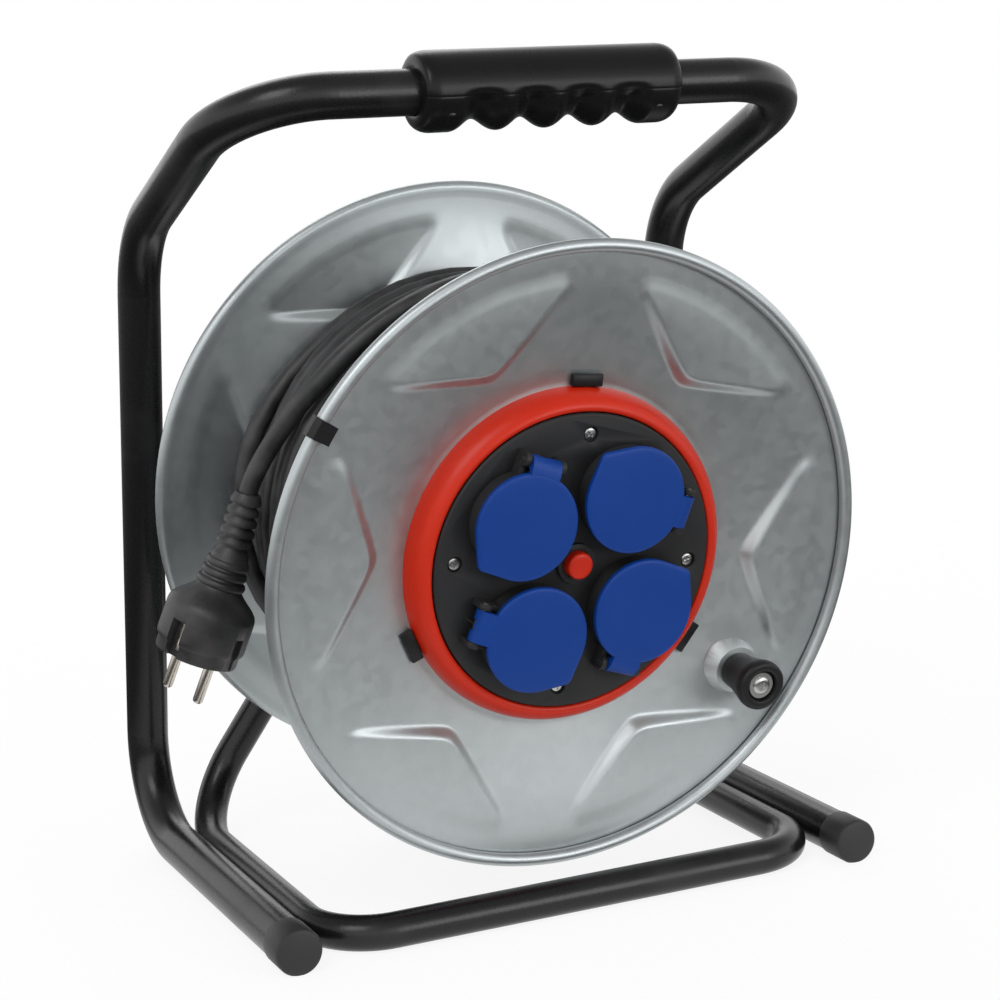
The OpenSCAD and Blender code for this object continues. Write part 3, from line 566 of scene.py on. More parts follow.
class Bench:
    """Modelling moves that the pieces share, each made of Blender's own operators."""

    # Lengths nearer than this are the same, and vertices nearer than the weld are merged, in
    # millimetres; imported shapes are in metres
    SAME = 1e-3
    WELD = 0.002
    PACKED_WELD = 2e-6
    # Degrees: bevelled edges are sharper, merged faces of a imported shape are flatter, and its
    # edges sharper than the last stay sharp
    BEVEL_ANGLE = 35
    FLAT_ANGLE = 0.5
    PACKED_SMOOTH = 30.0

    @staticmethod
    def clear() -> None:
        """Leaves object mode with nothing selected."""
        active = bpy.context.view_layer.objects.active
        if active and active.mode != "OBJECT":
            bpy.ops.object.mode_set(mode="OBJECT")
        bpy.ops.object.select_all(action="DESELECT")

    @staticmethod
    def take(piece: bpy.types.Object) -> None:
        """Selects one piece alone and makes it active.

        Args:
            piece: the piece to take.
        """
        Bench.clear()
        piece.select_set(True)
        bpy.context.view_layer.objects.active = piece

    @staticmethod
    def edit(piece: bpy.types.Object) -> None:
        """Opens a piece in edit mode with all of it selected.

        Args:
            piece: the piece to open.
        """
        Bench.take(piece)
        bpy.ops.object.mode_set(mode="EDIT")
        bpy.ops.mesh.select_mode(type="VERT")
        bpy.ops.mesh.select_all(action="SELECT")

    @staticmethod
    def close() -> None:
        """Goes back to object mode."""
        bpy.ops.object.mode_set(mode="OBJECT")

    @staticmethod
    def pick(test: Callable[[Vector], bool]) -> None:
        """Selects the vertices of the piece being edited that pass a test.

        Args:
            test: takes a vertex's place and says whether it is wanted.
        """
        bpy.ops.mesh.select_all(action="DESELECT")
        shape = bmesh.from_edit_mesh(bpy.context.object.data)
        for vertex in shape.verts:
            if test(vertex.co):
                vertex.select = True
        shape.select_flush(True)
        bmesh.update_edit_mesh(bpy.context.object.data)

    @staticmethod
    def turned(name: str, profile: Sequence[Pair], sides: int = 96) -> bpy.types.Object:
        """Turns a profile round Z, ring by ring.

        Args:
            name: the piece's name.
            profile: (radius, height) pairs; radius 0 at an end closes it, and an end equal
                to the start makes a closed ring.
            sides: vertices in a ring.

        Returns:
            The new piece, smooth, with its normals outward.
        """
        points = list(profile)
        opened = points[0][0] > 0
        if not opened:
            points = points[1:]
        Bench.clear()
        bpy.ops.mesh.primitive_circle_add(
            vertices=sides, radius=points[0][0], location=(0, 0, 0), fill_type="NOTHING"
        )
        piece = bpy.context.object
        piece.name = name
        Bench.edit(piece)
        bpy.ops.transform.translate(value=(0, 0, points[0][1]))
        for before, now in zip(points, points[1:]):
            rise = now[1] - before[1]
            bpy.ops.mesh.extrude_region_move(TRANSFORM_OT_translate={"value": (0, 0, rise)})
            if now[0] <= 0:
                bpy.ops.mesh.merge(type="CENTER")
                break
            scale = now[0] / before[0]
            bpy.ops.transform.resize(value=(scale, scale, 1), center_override=(0, 0, 0))
        if not opened:
            first_r, first_z = points[0]
            Bench.pick(
                lambda at: abs(at.z - first_z) < Bench.SAME
                and abs(math.hypot(at.x, at.y) - first_r) < Bench.SAME
            )
            rise = profile[0][1] - first_z
            bpy.ops.mesh.extrude_region_move(TRANSFORM_OT_translate={"value": (0, 0, rise)})
            bpy.ops.mesh.merge(type="CENTER")
        bpy.ops.mesh.select_all(action="SELECT")
        bpy.ops.mesh.remove_doubles(threshold=Bench.WELD)
        bpy.ops.mesh.normals_make_consistent(inside=False)
        Bench.close()
        return piece

    @staticmethod
    def slab(name: str, outline: Sequence[Pair], low: float, high: float) -> bpy.types.Object:
        """Raises an outline into a slab.

        Args:
            name: the piece's name.
            outline: the corners in order.
            low: height of its underside.
            high: height of its top.

        Returns:
            The new piece.
        """
        Bench.clear()
        bpy.ops.mesh.primitive_circle_add(vertices=len(outline), radius=1, fill_type="NOTHING")
        piece = bpy.context.object
        piece.name = name
        for vertex, (x, y) in zip(piece.data.vertices, outline):
            vertex.co = (x, y, low)
        Bench.edit(piece)
        bpy.ops.mesh.edge_face_add()
        bpy.ops.mesh.extrude_region_move(TRANSFORM_OT_translate={"value": (0, 0, high - low)})
        bpy.ops.mesh.select_all(action="SELECT")
        bpy.ops.mesh.normals_make_consistent(inside=False)
        Bench.close()
        return piece

    @staticmethod
    def block(name: str, centre: Triple, size: Triple) -> bpy.types.Object:
        """A cuboid to be bevelled, cut with or joined.

        Args:
            name: the piece's name.
            centre: its middle.
            size: its lengths along X, Y and Z.

        Returns:
            The new piece.
        """
        Bench.clear()
        bpy.ops.mesh.primitive_cube_add(size=1, location=(0, 0, 0))
        piece = bpy.context.object
        piece.name = name
        Bench.edit(piece)
        bpy.ops.transform.resize(value=size, center_override=(0, 0, 0))
        bpy.ops.transform.translate(value=centre)
        Bench.close()
        return piece

    @staticmethod
    def modify(piece: bpy.types.Object, kind: str, **settings: Any) -> bpy.types.Object:
        """Adds a modifier and applies it at once.

        Args:
            piece: the piece to change.
            kind: the modifier's type.
            settings: the modifier's attributes.

        Returns:
            The same piece.
        """
        Bench.take(piece)
        modifier = piece.modifiers.new(kind.lower(), kind)
        for key, value in settings.items():
            setattr(modifier, key, value)
        bpy.ops.object.modifier_apply(modifier=modifier.name)
        return piece

    @staticmethod
    def bevelled(piece: bpy.types.Object, width: float, segments: int = 2) -> bpy.types.Object:
        """Rounds the sharp edges of a piece.

        Args:
            piece: the piece to change.
            width: width of the rounding.
            segments: faces across it.

        Returns:
            The same piece.
        """
        return Bench.modify(
            piece, "BEVEL", width=width, segments=segments,
            limit_method="ANGLE", angle_limit=math.radians(Bench.BEVEL_ANGLE),
            use_clamp_overlap=True,
        )

    @staticmethod
    def cut(piece: bpy.types.Object, *tools: bpy.types.Object) -> bpy.types.Object:
        """Takes the shapes of the tools out of a piece.

        Args:
            piece: the piece to change.
            tools: the shapes to take out, which are removed.

        Returns:
            The same piece.
        """
        for tool in tools:
            Bench.modify(piece, "BOOLEAN", object=tool, operation="DIFFERENCE", solver="EXACT")
            bpy.data.objects.remove(tool)
        return piece

    @staticmethod
    def crossed(screw: bpy.types.Object, z: float, arm: Triple) -> bpy.types.Object:
        """Cuts a crossed slot into the head of a screw.

        Args:
            screw: the screw, along Z.
            z: height of the slot's middle.
            arm: length, width and depth of one arm of the slot.

        Returns:
            The same screw.
        """
        length, width, depth = arm
        tools = [
            Bench.block("slot_tool", (0, 0, z), size)
            for size in ((length, width, depth), (width, length, depth))
        ]
        return Bench.cut(screw, *tools)

    @staticmethod
    def joined(name: str, pieces: Sequence[bpy.types.Object]) -> bpy.types.Object:
        """Joins pieces into one.

        Args:
            name: the name of the whole.
            pieces: the pieces, of which the first takes up the others.

        Returns:
            The first piece.
        """
        Bench.clear()
        for piece in pieces:
            piece.select_set(True)
        bpy.context.view_layer.objects.active = pieces[0]
        bpy.ops.object.join()
        pieces[0].name = name
        return pieces[0]

    @staticmethod
    def copied(piece: bpy.types.Object, name: str) -> bpy.types.Object:
        """A copy with its own mesh.

        Args:
            piece: the piece to copy.
            name: the copy's name.

        Returns:
            The copy.
        """
        twin = piece.copy()
        twin.data = piece.data.copy()
        twin.name = name
        bpy.context.scene.collection.objects.link(twin)
        return twin

    @staticmethod
    def placed(piece: bpy.types.Object, place: Matrix) -> bpy.types.Object:
        """Moves the mesh of a piece to its place, with the object left at the origin.

        Args:
            piece: the piece to move.
            place: where its frame goes.

        Returns:
            The same piece.
        """
        piece.matrix_world = place
        Bench.take(piece)
        bpy.ops.object.transform_apply(location=True, rotation=True, scale=True)
        return piece

    @staticmethod
    def pressed(piece: bpy.types.Object, move: Callable[[Vector], Vector]) -> bpy.types.Object:
        """Moves every vertex of a piece by a rule.

        Args:
            piece: the piece to change.
            move: takes a vertex's place and gives its new one.

        Returns:
            The same piece.
        """
        for vertex in piece.data.vertices:
            vertex.co = move(vertex.co.copy())
        piece.data.update()
        return piece

    @staticmethod
    def finished(
        piece: bpy.types.Object,
        place: Matrix,
        finish: Finish,
        body: Body,
        nodes: Iterable[str] = (),
        angle: float = 32.0,
    ) -> bpy.types.Object:
        """Puts a piece in its place and dresses it.

        Args:
            piece: the piece, in millimetres in its own frame.
            place: that frame.
            finish: its finish.
            body: the body that it moves with.
            nodes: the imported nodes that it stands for.
            angle: edges sharper than this many degrees stay sharp.

        Returns:
            The same piece.
        """
        Bench.placed(piece, TO_METRES @ place)
        Bench.dressed(piece, finish, body, nodes, angle)
        return piece

    @staticmethod
    def dressed(
        piece: bpy.types.Object, finish: Finish, body: Body, nodes: Iterable[str], angle: float
    ) -> None:
        """Shades, paints and hands over a piece that is already in its place.

        Args:
            piece: the piece to change.
            finish: its finish.
            body: the body that it moves with.
            nodes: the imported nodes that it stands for.
            angle: edges sharper than this many degrees stay sharp.
        """
        Bench.take(piece)
        bpy.ops.object.shade_smooth_by_angle(angle=math.radians(angle))
        piece.data.materials.clear()
        piece.data.materials.append(finish.material())
        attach(piece, body.value)
        wanted = list(nodes)
        if wanted:
            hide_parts(*wanted)
        LOG.info("%s: %d faces", piece.name, len(piece.data.polygons))

    @staticmethod
    def refined(
        frame: dict[str, Any], node: str, finish: Finish, body: Body, edge: float = 0.0
    ) -> None:
        """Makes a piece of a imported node's own shape, with its edges rounded, in its stead.

        Args:
            node: the node's name.
            finish: its finish.
            body: the body that it moves with.
            edge: width of the rounded edges in millimetres, or 0 for none.
        """
        source = frame["nodes"][node]
        piece = bpy.data.objects.new(node + "_shape", source.data.copy())
        bpy.context.scene.collection.objects.link(piece)
        Bench.edit(piece)
        bpy.ops.mesh.customdata_custom_splitnormals_clear()
        bpy.ops.mesh.remove_doubles(threshold=Bench.PACKED_WELD)
        if edge > 0:
            bpy.ops.mesh.dissolve_limited(angle_limit=math.radians(Bench.FLAT_ANGLE))
        Bench.close()
        if edge > 0:
            Bench.bevelled(piece, edge * 0.001)
        Bench.dressed(piece, finish, body, [node], Bench.PACKED_SMOOTH)


# ---- Studio ----


@dataclass
class Studio:
    """Camera, floor, backdrop and lamps."""

    eye: Triple = (-0.4734, -1.0162, 0.3876)
    yaw: float = 0.4424
    pitch: float = 0.1882
    roll: float = -0.0305
    lens: float = 86.573
    floor_half: float = 6.0
    # Distances from the middle over which the floor changes, near the reel and far from it
    near_floor: Pair = (0.22, 0.35)
    far_floor: Pair = (0.45, 1.6)
    # Brightness of the room by height, and its strength in a gloss and as light on the reel
    room_stops: tuple[Pair, ...] = ((0.0, 1.0), (0.40, 1.0), (0.66, 0.38), (1.0, 0.24))
    room_gloss: float = 1.4
    room_light: float = 0.50
    # Lamps: [name, place, side, power], all turned to one point
    lamps: tuple[tuple[str, Triple, float, float], ...] = (
        ("key_lamp", (-1.3, -1.2, 1.9), 1.1, 16.0),
        ("fill_lamp", (0.95, -1.9, 0.5), 0.9, 8.0),
        ("back_lamp", (0.3, 1.6, 1.7), 1.2, 9.0),
    )
    aim: Triple = (0.0, 0.0, 0.18)

    def camera(self) -> None:
        """Sets the camera at its viewing angle."""
        lens = bpy.data.cameras.new("camera")
        lens.sensor_fit = "HORIZONTAL"
        lens.sensor_width = 36.0
        lens.lens = self.lens
        lens.clip_start = 0.05
        lens.clip_end = 50.0
        camera = bpy.data.objects.new("camera", lens)
        bpy.context.scene.collection.objects.link(camera)
        ahead = Vector((
            math.sin(self.yaw) * math.cos(self.pitch),
            math.cos(self.yaw) * math.cos(self.pitch),
            -math.sin(self.pitch),
        ))
        right = Vector((math.cos(self.yaw), -math.sin(self.yaw), 0.0))
        over = right.cross(ahead)
        side = right * math.cos(self.roll) + over * math.sin(self.roll)
        up = over * math.cos(self.roll) - right * math.sin(self.roll)
        camera.matrix_world = Matrix((
            (side.x, up.x, -ahead.x, self.eye[0]),
            (side.y, up.y, -ahead.y, self.eye[1]),
            (side.z, up.z, -ahead.z, self.eye[2]),
            (0.0, 0.0, 0.0, 1.0),
        ))
        bpy.context.scene.camera = camera

    @staticmethod
    def rays(graph: Graph) -> tuple[Tap, Tap]:
        """Marks the rays that see the background straight, and those that a gloss sends.

        Args:
            graph: the graph that needs them.

        Returns:
            The marks of straight and of glossy rays, 1 for such a ray and 0 for others.
        """
        path = graph.node("LightPath", output="Is Camera Ray")
        straight = graph.maths("MINIMUM", path + path.out("Is Transmission Ray"), 1.0)
        gloss = path.out("Is Glossy Ray") * (1.0 - straight)
        return straight, gloss

    def floor(self) -> None:
        """A plain pale floor that keeps the shadow."""
        Bench.clear()
        bpy.ops.mesh.primitive_plane_add(size=2 * self.floor_half, location=(0, 0, 0))
        floor = bpy.context.object
        floor.name = "studio_floor"
        paint = bpy.data.materials.new("pale_floor")
        graph = Graph(paint)
        straight, gloss = self.rays(graph)
        where = graph.node("TexCoord", output="Object")
        reach = graph.node("VectorMath", {"operation": "LENGTH"}, {0: where}, "Value")
        low, high = self.far_floor
        far = graph.node("MapRange", None, {0: reach, 1: low, 2: high, 3: 0.0, 4: 1.0})
        low, high = self.near_floor
        near = graph.node("MapRange", None, {0: reach, 1: low, 2: high, 3: 1.0, 4: 0.0})
        matt = graph.node("BsdfDiffuse", None, {"Color": (0.90, 0.90, 0.90)})
        # Seen straight it is white; in a gloss it is bright near the reel only
        strength = straight * (1.05 - 0.05 * far) + gloss * (0.06 + 0.95 * near + 0.2 * far)
        glow = graph.node("Emission", None, {"Color": (1.0, 1.0, 1.0), "Strength": strength})
        # Near the reel a part of it stays matt and takes the shadow
        share = straight * (0.84 + 0.16 * far) + gloss
        mix = graph.node("MixShader", None, {0: share, 1: matt, 2: glow})
        graph.node("OutputMaterial", None, {"Surface": mix})
        floor.data.materials.append(paint)

    def world(self) -> None:
        """A white room, whose walls are bright and whose ceiling is dim in a gloss."""
        world = bpy.data.worlds.new("studio_world")
        bpy.context.scene.world = world
        graph = Graph(world)
        straight, gloss = self.rays(graph)
        way = graph.node("TexCoord", output="Generated")
        height = graph.node("SeparateXYZ", None, {0: way}, "Z")
        room = graph.node("ValToRGB", {"stops": self.room_stops}, {"Fac": height})
        other = 1.0 - straight - gloss
        strength = straight + self.room_gloss * gloss * room + self.room_light * other
        sky = graph.node("Background", None, {"Color": (1.0, 1.0, 1.0), "Strength": strength})
        graph.node("OutputWorld", None, {"Surface": sky})

    @staticmethod
    def lamp(name: str, at: Triple, aim: Triple, size: float, watts: float) -> None:
        """A square soft lamp.

        Args:
            name: the lamp's name.
            at: its place.
            aim: the point that it faces.
            size: its side.
            watts: its power.
        """
        light = bpy.data.lights.new(name, "AREA")
        light.shape = "SQUARE"
        light.size = size
        light.energy = watts
        lamp = bpy.data.objects.new(name, light)
        lamp.location = at
        lamp.rotation_euler = (Vector(aim) - Vector(at)).to_track_quat("-Z", "Y").to_euler()
        bpy.context.scene.collection.objects.link(lamp)

    def build(self) -> None:
        """Makes the whole studio."""
        scene = bpy.context.scene
        scene.view_settings.view_transform = "Standard"
        self.camera()
        self.floor()
        self.world()
        for name, at, size, watts in self.lamps:
            self.lamp(name, at, self.aim, size, watts)
        LOG.info("studio ready")


# ---- Cable ----


def eased(low: float, high: float, value: float) -> float:
    """0 below low, 1 above high, and a smooth rise between."""
    share = min(1.0, max(0.0, (value - low) / (high - low)))
    return share * share * (3 - 2 * share)


@dataclass
class Cable:
    """The whole cable: four layers on the core, the lead over them, and its end in the plug."""

    diameter: float = 9.0
    length: float = 25.0
    steps_per_turn: int = 48
    outer_r: float = 102.5
    outer_turns: int = 12
    rear_z: float = -131.1
    front_z: float = -15.9
    # The first outer turn stands off by the slack, which rises and falls over these turns
    slack: float = 8.0
    slack_rise: Pair = (0.36, 0.50)
    slack_fall: Pair = (0.54, 0.70)
    # Waves of the outer turns to and fro: [height, rate, start]
    sway: tuple[Triple, ...] = ((0.14, 2.3, 0.0), (0.10, 7.1, 1.0))
    # Knots below the outer layer: [turns before its start, radius, depth]
    lower: tuple[Triple, ...] = (
        (-30.35, 76.2, -18.0), (-30.2, 79.7, -18.0), (-22.9, 79.7, -129.2),
        (-22.6, 87.3, -127.6), (-12.1, 87.3, -19.6), (-11.8, 94.9, -17.8),
        (-0.42, 94.9, -129.4), (-0.14, 102.5, -131.1), (-0.0140, 102.5, -131.1),
    )
    # Knots of the lead: [distance from the axle, angle, depth]
    lead: tuple[Triple, ...] = (
        (105, 12, -16), (109, 20, -16), (112.5, 30, -19), (112.5, 42, -29), (112.5, 54, -41),
        (112.5, 66, -53), (112.5, 78, -65), (112.5, 90, -74), (112.5, 102, -79),
        (112.5, 114, -79), (112.5, 126, -79), (112.5, 138, -80), (112.5, 148, -83),
        (112.8, 157, -89), (114.2, 166, -94), (116.4, 172.5, -96.5), (118.0, 176.6, -97),
        (119.4, 181, -97), (122.2, 186.2, -97), (125.3, 190.2, -97),
    )
    lead_steps: int = 4

    def wound(self) -> list[Vector]:
        """Points of the layers, in the drum's frame.

        Returns:
            The points, from the start on the core to the last turn.
        """
        points = []
        step = 1.0 / self.steps_per_turn
        for (t0, r0, z0), (t1, r1, z1) in zip(self.lower, self.lower[1:]):
            count = max(1, round((t1 - t0) / step))
            for k in range(count):
                share = k / count
                climb = eased(0, 1, share) if abs(r1 - r0) > 0.1 else share
                points.append(polar(
                    r0 + (r1 - r0) * climb, 360 * (t0 + (t1 - t0) * share), z0 + (z1 - z0) * climb
                ))
        pitch = (self.front_z - self.rear_z) / self.outer_turns
        for k in range(self.outer_turns * self.steps_per_turn + 1):
            turns = k * step
            sway = sum(a * math.sin(rate * turns + start) for a, rate, start in self.sway)
            fade = min(1.0, turns, self.outer_turns - turns)
            slack = self.slack * eased(*self.slack_rise, turns)
            slack *= 1 - eased(*self.slack_fall, turns)
            points.append(polar(
                self.outer_r + slack, 360 * turns, self.rear_z + pitch * turns + sway * fade
            ))
        return points

    def lead_points(self) -> list[Vector]:
        """Points of the lead, rounded between its knots, in the drum's frame.

        Returns:
            The points, from the last turn to the plug's neck.
        """
        start = Vector((self.outer_r, self.diameter, self.front_z))
        knots = [start] + [polar(*knot) for knot in self.lead]
        before = polar(self.outer_r, 0.0, self.front_z)
        line = [before] + knots + [knots[-1] * 2 - knots[-2]]
        points = []
        for a, b, c, d in zip(line, line[1:], line[2:], line[3:]):
            for k in range(self.lead_steps):
                t = k / self.lead_steps
                points.append(0.5 * (
                    2 * b + (c - a) * t + (2 * a - 5 * b + 4 * c - d) * t * t
                    + (3 * b - a - 3 * c + d) * t * t * t
                ))
        points.append(knots[-1])
        return points

    def route(self) -> list[Vector]:
        """The whole centre line, in metres where it lies."""
        place = TO_METRES @ PLACES.drum
        return [place @ point for point in self.wound() + self.lead_points()]

    def build(self) -> tuple[bpy.types.Object, list[Vector]]:
        """Lays the cable.

        Returns:
            The cable and its route in metres.
        """
        route = self.route()
        line = bpy.data.curves.new("cable", "CURVE")
        line.dimensions = "3D"
        line.twist_mode = "Z_UP"
        line.bevel_depth = self.diameter / 2000
        line.bevel_resolution = 5
        line.use_fill_caps = True
        spline = line.splines.new("POLY")
        spline.points.add(len(route) - 1)
        for point, place in zip(spline.points, route):
            point.co = (*place, 1.0)
        spline.use_smooth = True
        cable = bpy.data.objects.new("cable", line)
        bpy.context.scene.collection.objects.link(cable)
        line.materials.append(FINISHES.rubber.material())
        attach(cable, Body.DRUM.value)
        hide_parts("cable_pack", "cable_winding", "cable_lead")
        LOG.info("cable: %d points", len(route))
        return cable, route


@dataclass
class Plug:
    """Moulded plug with side earth strips and a ribbed strain relief."""

    pin_spacing: float = 19.0
    pin_length: float = 19.0
    pin_r: float = 2.4
    cut_z: float = -6.5
    slot_y: float = 18.5
    slot_size: Triple = (7.2, 7.4, 22.0)
    notch_x: float = 20.6
    notch_size: Triple = (4.4, 5.6, 20.0)
    strip_y: float = 15.1
    strip_z: float = -9.5
    strip_size: Triple = (4.2, 0.8, 13.0)
    relief_ribs: int = 5
    # Middle line of the relief: [distance from the axle, angle]
    relief_route: tuple[Pair, ...] = (
        (118.5, 178.0), (119.2, 180.2), (120.1, 182.4), (121.2, 184.6), (122.6, 186.8),
        (124.2, 188.9), (126.0, 191.0),
    )

    def body(self) -> bpy.types.Object:
        """The moulded body: round front, steep shoulder, ringed neck, slots and guide notches.

        Returns:
            The new piece, in the plug's frame.
        """
        profile = [
            (0, 0), (17.6, 0), (18.9, -0.5), (19.3, -1.6), (19.3, -5.6), (19.8, -6.4),
            (20.6, -7.4), (20.8, -9.0), (20.8, -22.6), (20.6, -24.2), (19.9, -25.9),
            (18.6, -27.5), (16.4, -29.4), (13.9, -31.4), (12.0, -33.2), (10.9, -34.6),
            (10.6, -35.2), (11.3, -35.7), (11.6, -36.9), (11.2, -38.2), (9.9, -38.9),
            (9.6, -39.9), (10.6, -40.5), (10.8, -41.7), (10.4, -43.0), (9.2, -43.7),
            (9.0, -44.6), (9.9, -45.2), (10.1, -46.4), (9.8, -47.7), (8.9, -48.3),
            (8.7, -49.4), (8.4, -51.0), (0, -51.0),
        ]
        body = Bench.turned("plug_moulding", profile, 96)
        tools = []
        for side in (-1, 1):
            slot_at = (0, side * self.slot_y, self.cut_z)
            tools.append(Bench.block("slot_tool", slot_at, self.slot_size))
            notch_at = (side * self.notch_x, 0, self.cut_z)
            tools.append(Bench.block("notch_tool", notch_at, self.notch_size))
        Bench.cut(body, *tools)
        return Bench.bevelled(body, 0.5, 2)

    def relief(self) -> bpy.types.Object:
        """The ribbed strain relief, bent along the cable.

        Returns:
            The new piece, in the drum's frame.
        """
        line = [polar(r, a, PLACES.plug_neck[2]) for r, a in self.relief_route]
        lengths = [0.0]
        for before, now in zip(line, line[1:]):
            lengths.append(lengths[-1] + (now - before).length)
        full = lengths[-1]
        profile = [(4.7, -0.6), (5.9, -0.5), (6.3, 0.4)]
        for k in range(self.relief_ribs):
            low = 2.2 + k * (full - 4.0) / self.relief_ribs
            ridge = 7.1 + 0.3 * k
            neck = 5.6 + 0.2 * k
            profile += [
                (ridge, low), (ridge + 0.1, low + 1.0), (ridge, low + 2.1),
                (neck, low + 2.6), (neck, low + 3.5),
            ]
        profile += [(8.0, full - 1.2), (8.4, full), (7.0, full + 0.8)]
        relief = Bench.turned("plug_relief_ribs", profile, 40)

        def bend(at: Vector) -> Vector:
            """Carries a point of the straight relief onto the cable's bend.

            Args:
                at: the point.

            Returns:
                Its new place.
            """
            z = min(max(at.z, 0.0), full - 1e-6)
            k = max(i for i, length in enumerate(lengths[:-1]) if length <= z)
            share = (z - lengths[k]) / (lengths[k + 1] - lengths[k])
            ahead = (line[k + 1] - line[k]).normalized()
            before = (line[k] - line[k - 1]).normalized() if k else ahead
            after = (line[k + 2] - line[k + 1]).normalized() if k + 2 < len(line) else ahead
            start = (before + ahead).normalized()
            end = (ahead + after).normalized()
            along = (start * (1 - share) + end * share).normalized()
            up = Vector((0, 0, 1))
            out = along.cross(up)
            centre = line[k].lerp(line[k + 1], share) + along * (at.z - z)
            return centre + out * at.x + up * at.y

        return Bench.pressed(relief, bend)

    def pins(self) -> bpy.types.Object:
        """Two contact pins with rounded tips.

        Returns:
            Both as one piece, in the plug's frame.
        """
        r, tip = self.pin_r, self.pin_length
        profile = [
            (0, -7), (r, -7), (r, tip - 1.6), (r - 0.35, tip - 0.7), (r - 1.0, tip - 0.15),
            (0, tip),
        ]
        pair = []
        for side in (-1, 1):
            pin = Bench.turned("pin", profile, 32)
            pair.append(Bench.placed(pin, shift(side * self.pin_spacing / 2)))
        return Bench.joined("plug_pin_pair", pair)

    def strips(self) -> bpy.types.Object:
        """Two earth strips, standing in the side slots.

        Returns:
            Both as one piece, in the plug's frame.
        """
        pair = []
        for side in (-1, 1):
            strip = Bench.block("strip", (0, side * self.strip_y, self.strip_z), self.strip_size)
            pair.append(Bench.bevelled(strip, 0.25, 2))
        return Bench.joined("plug_side_strips", pair)

    def build(self) -> list[bpy.types.Object]:
        """Makes the plug's pieces.

        Returns:
            The body, pins, strips and relief.
        """
        place = PLACES.plug
        body = Bench.finished(
            self.body(), place, FINISHES.rubber, Body.DRUM, ["plug_body"], 38
        )
        pins = Bench.finished(self.pins(), place, FINISHES.pin, Body.DRUM, ["plug_pins"])
        strips = Bench.finished(
            self.strips(), place, FINISHES.pin, Body.DRUM, ["plug_earth_strips"]
        )
        relief = Bench.finished(
            self.relief(), PLACES.drum, FINISHES.rubber, Body.DRUM, ["plug_relief"], 60
        )
        return [body, pins, strips, relief]


# ---- Drum ----


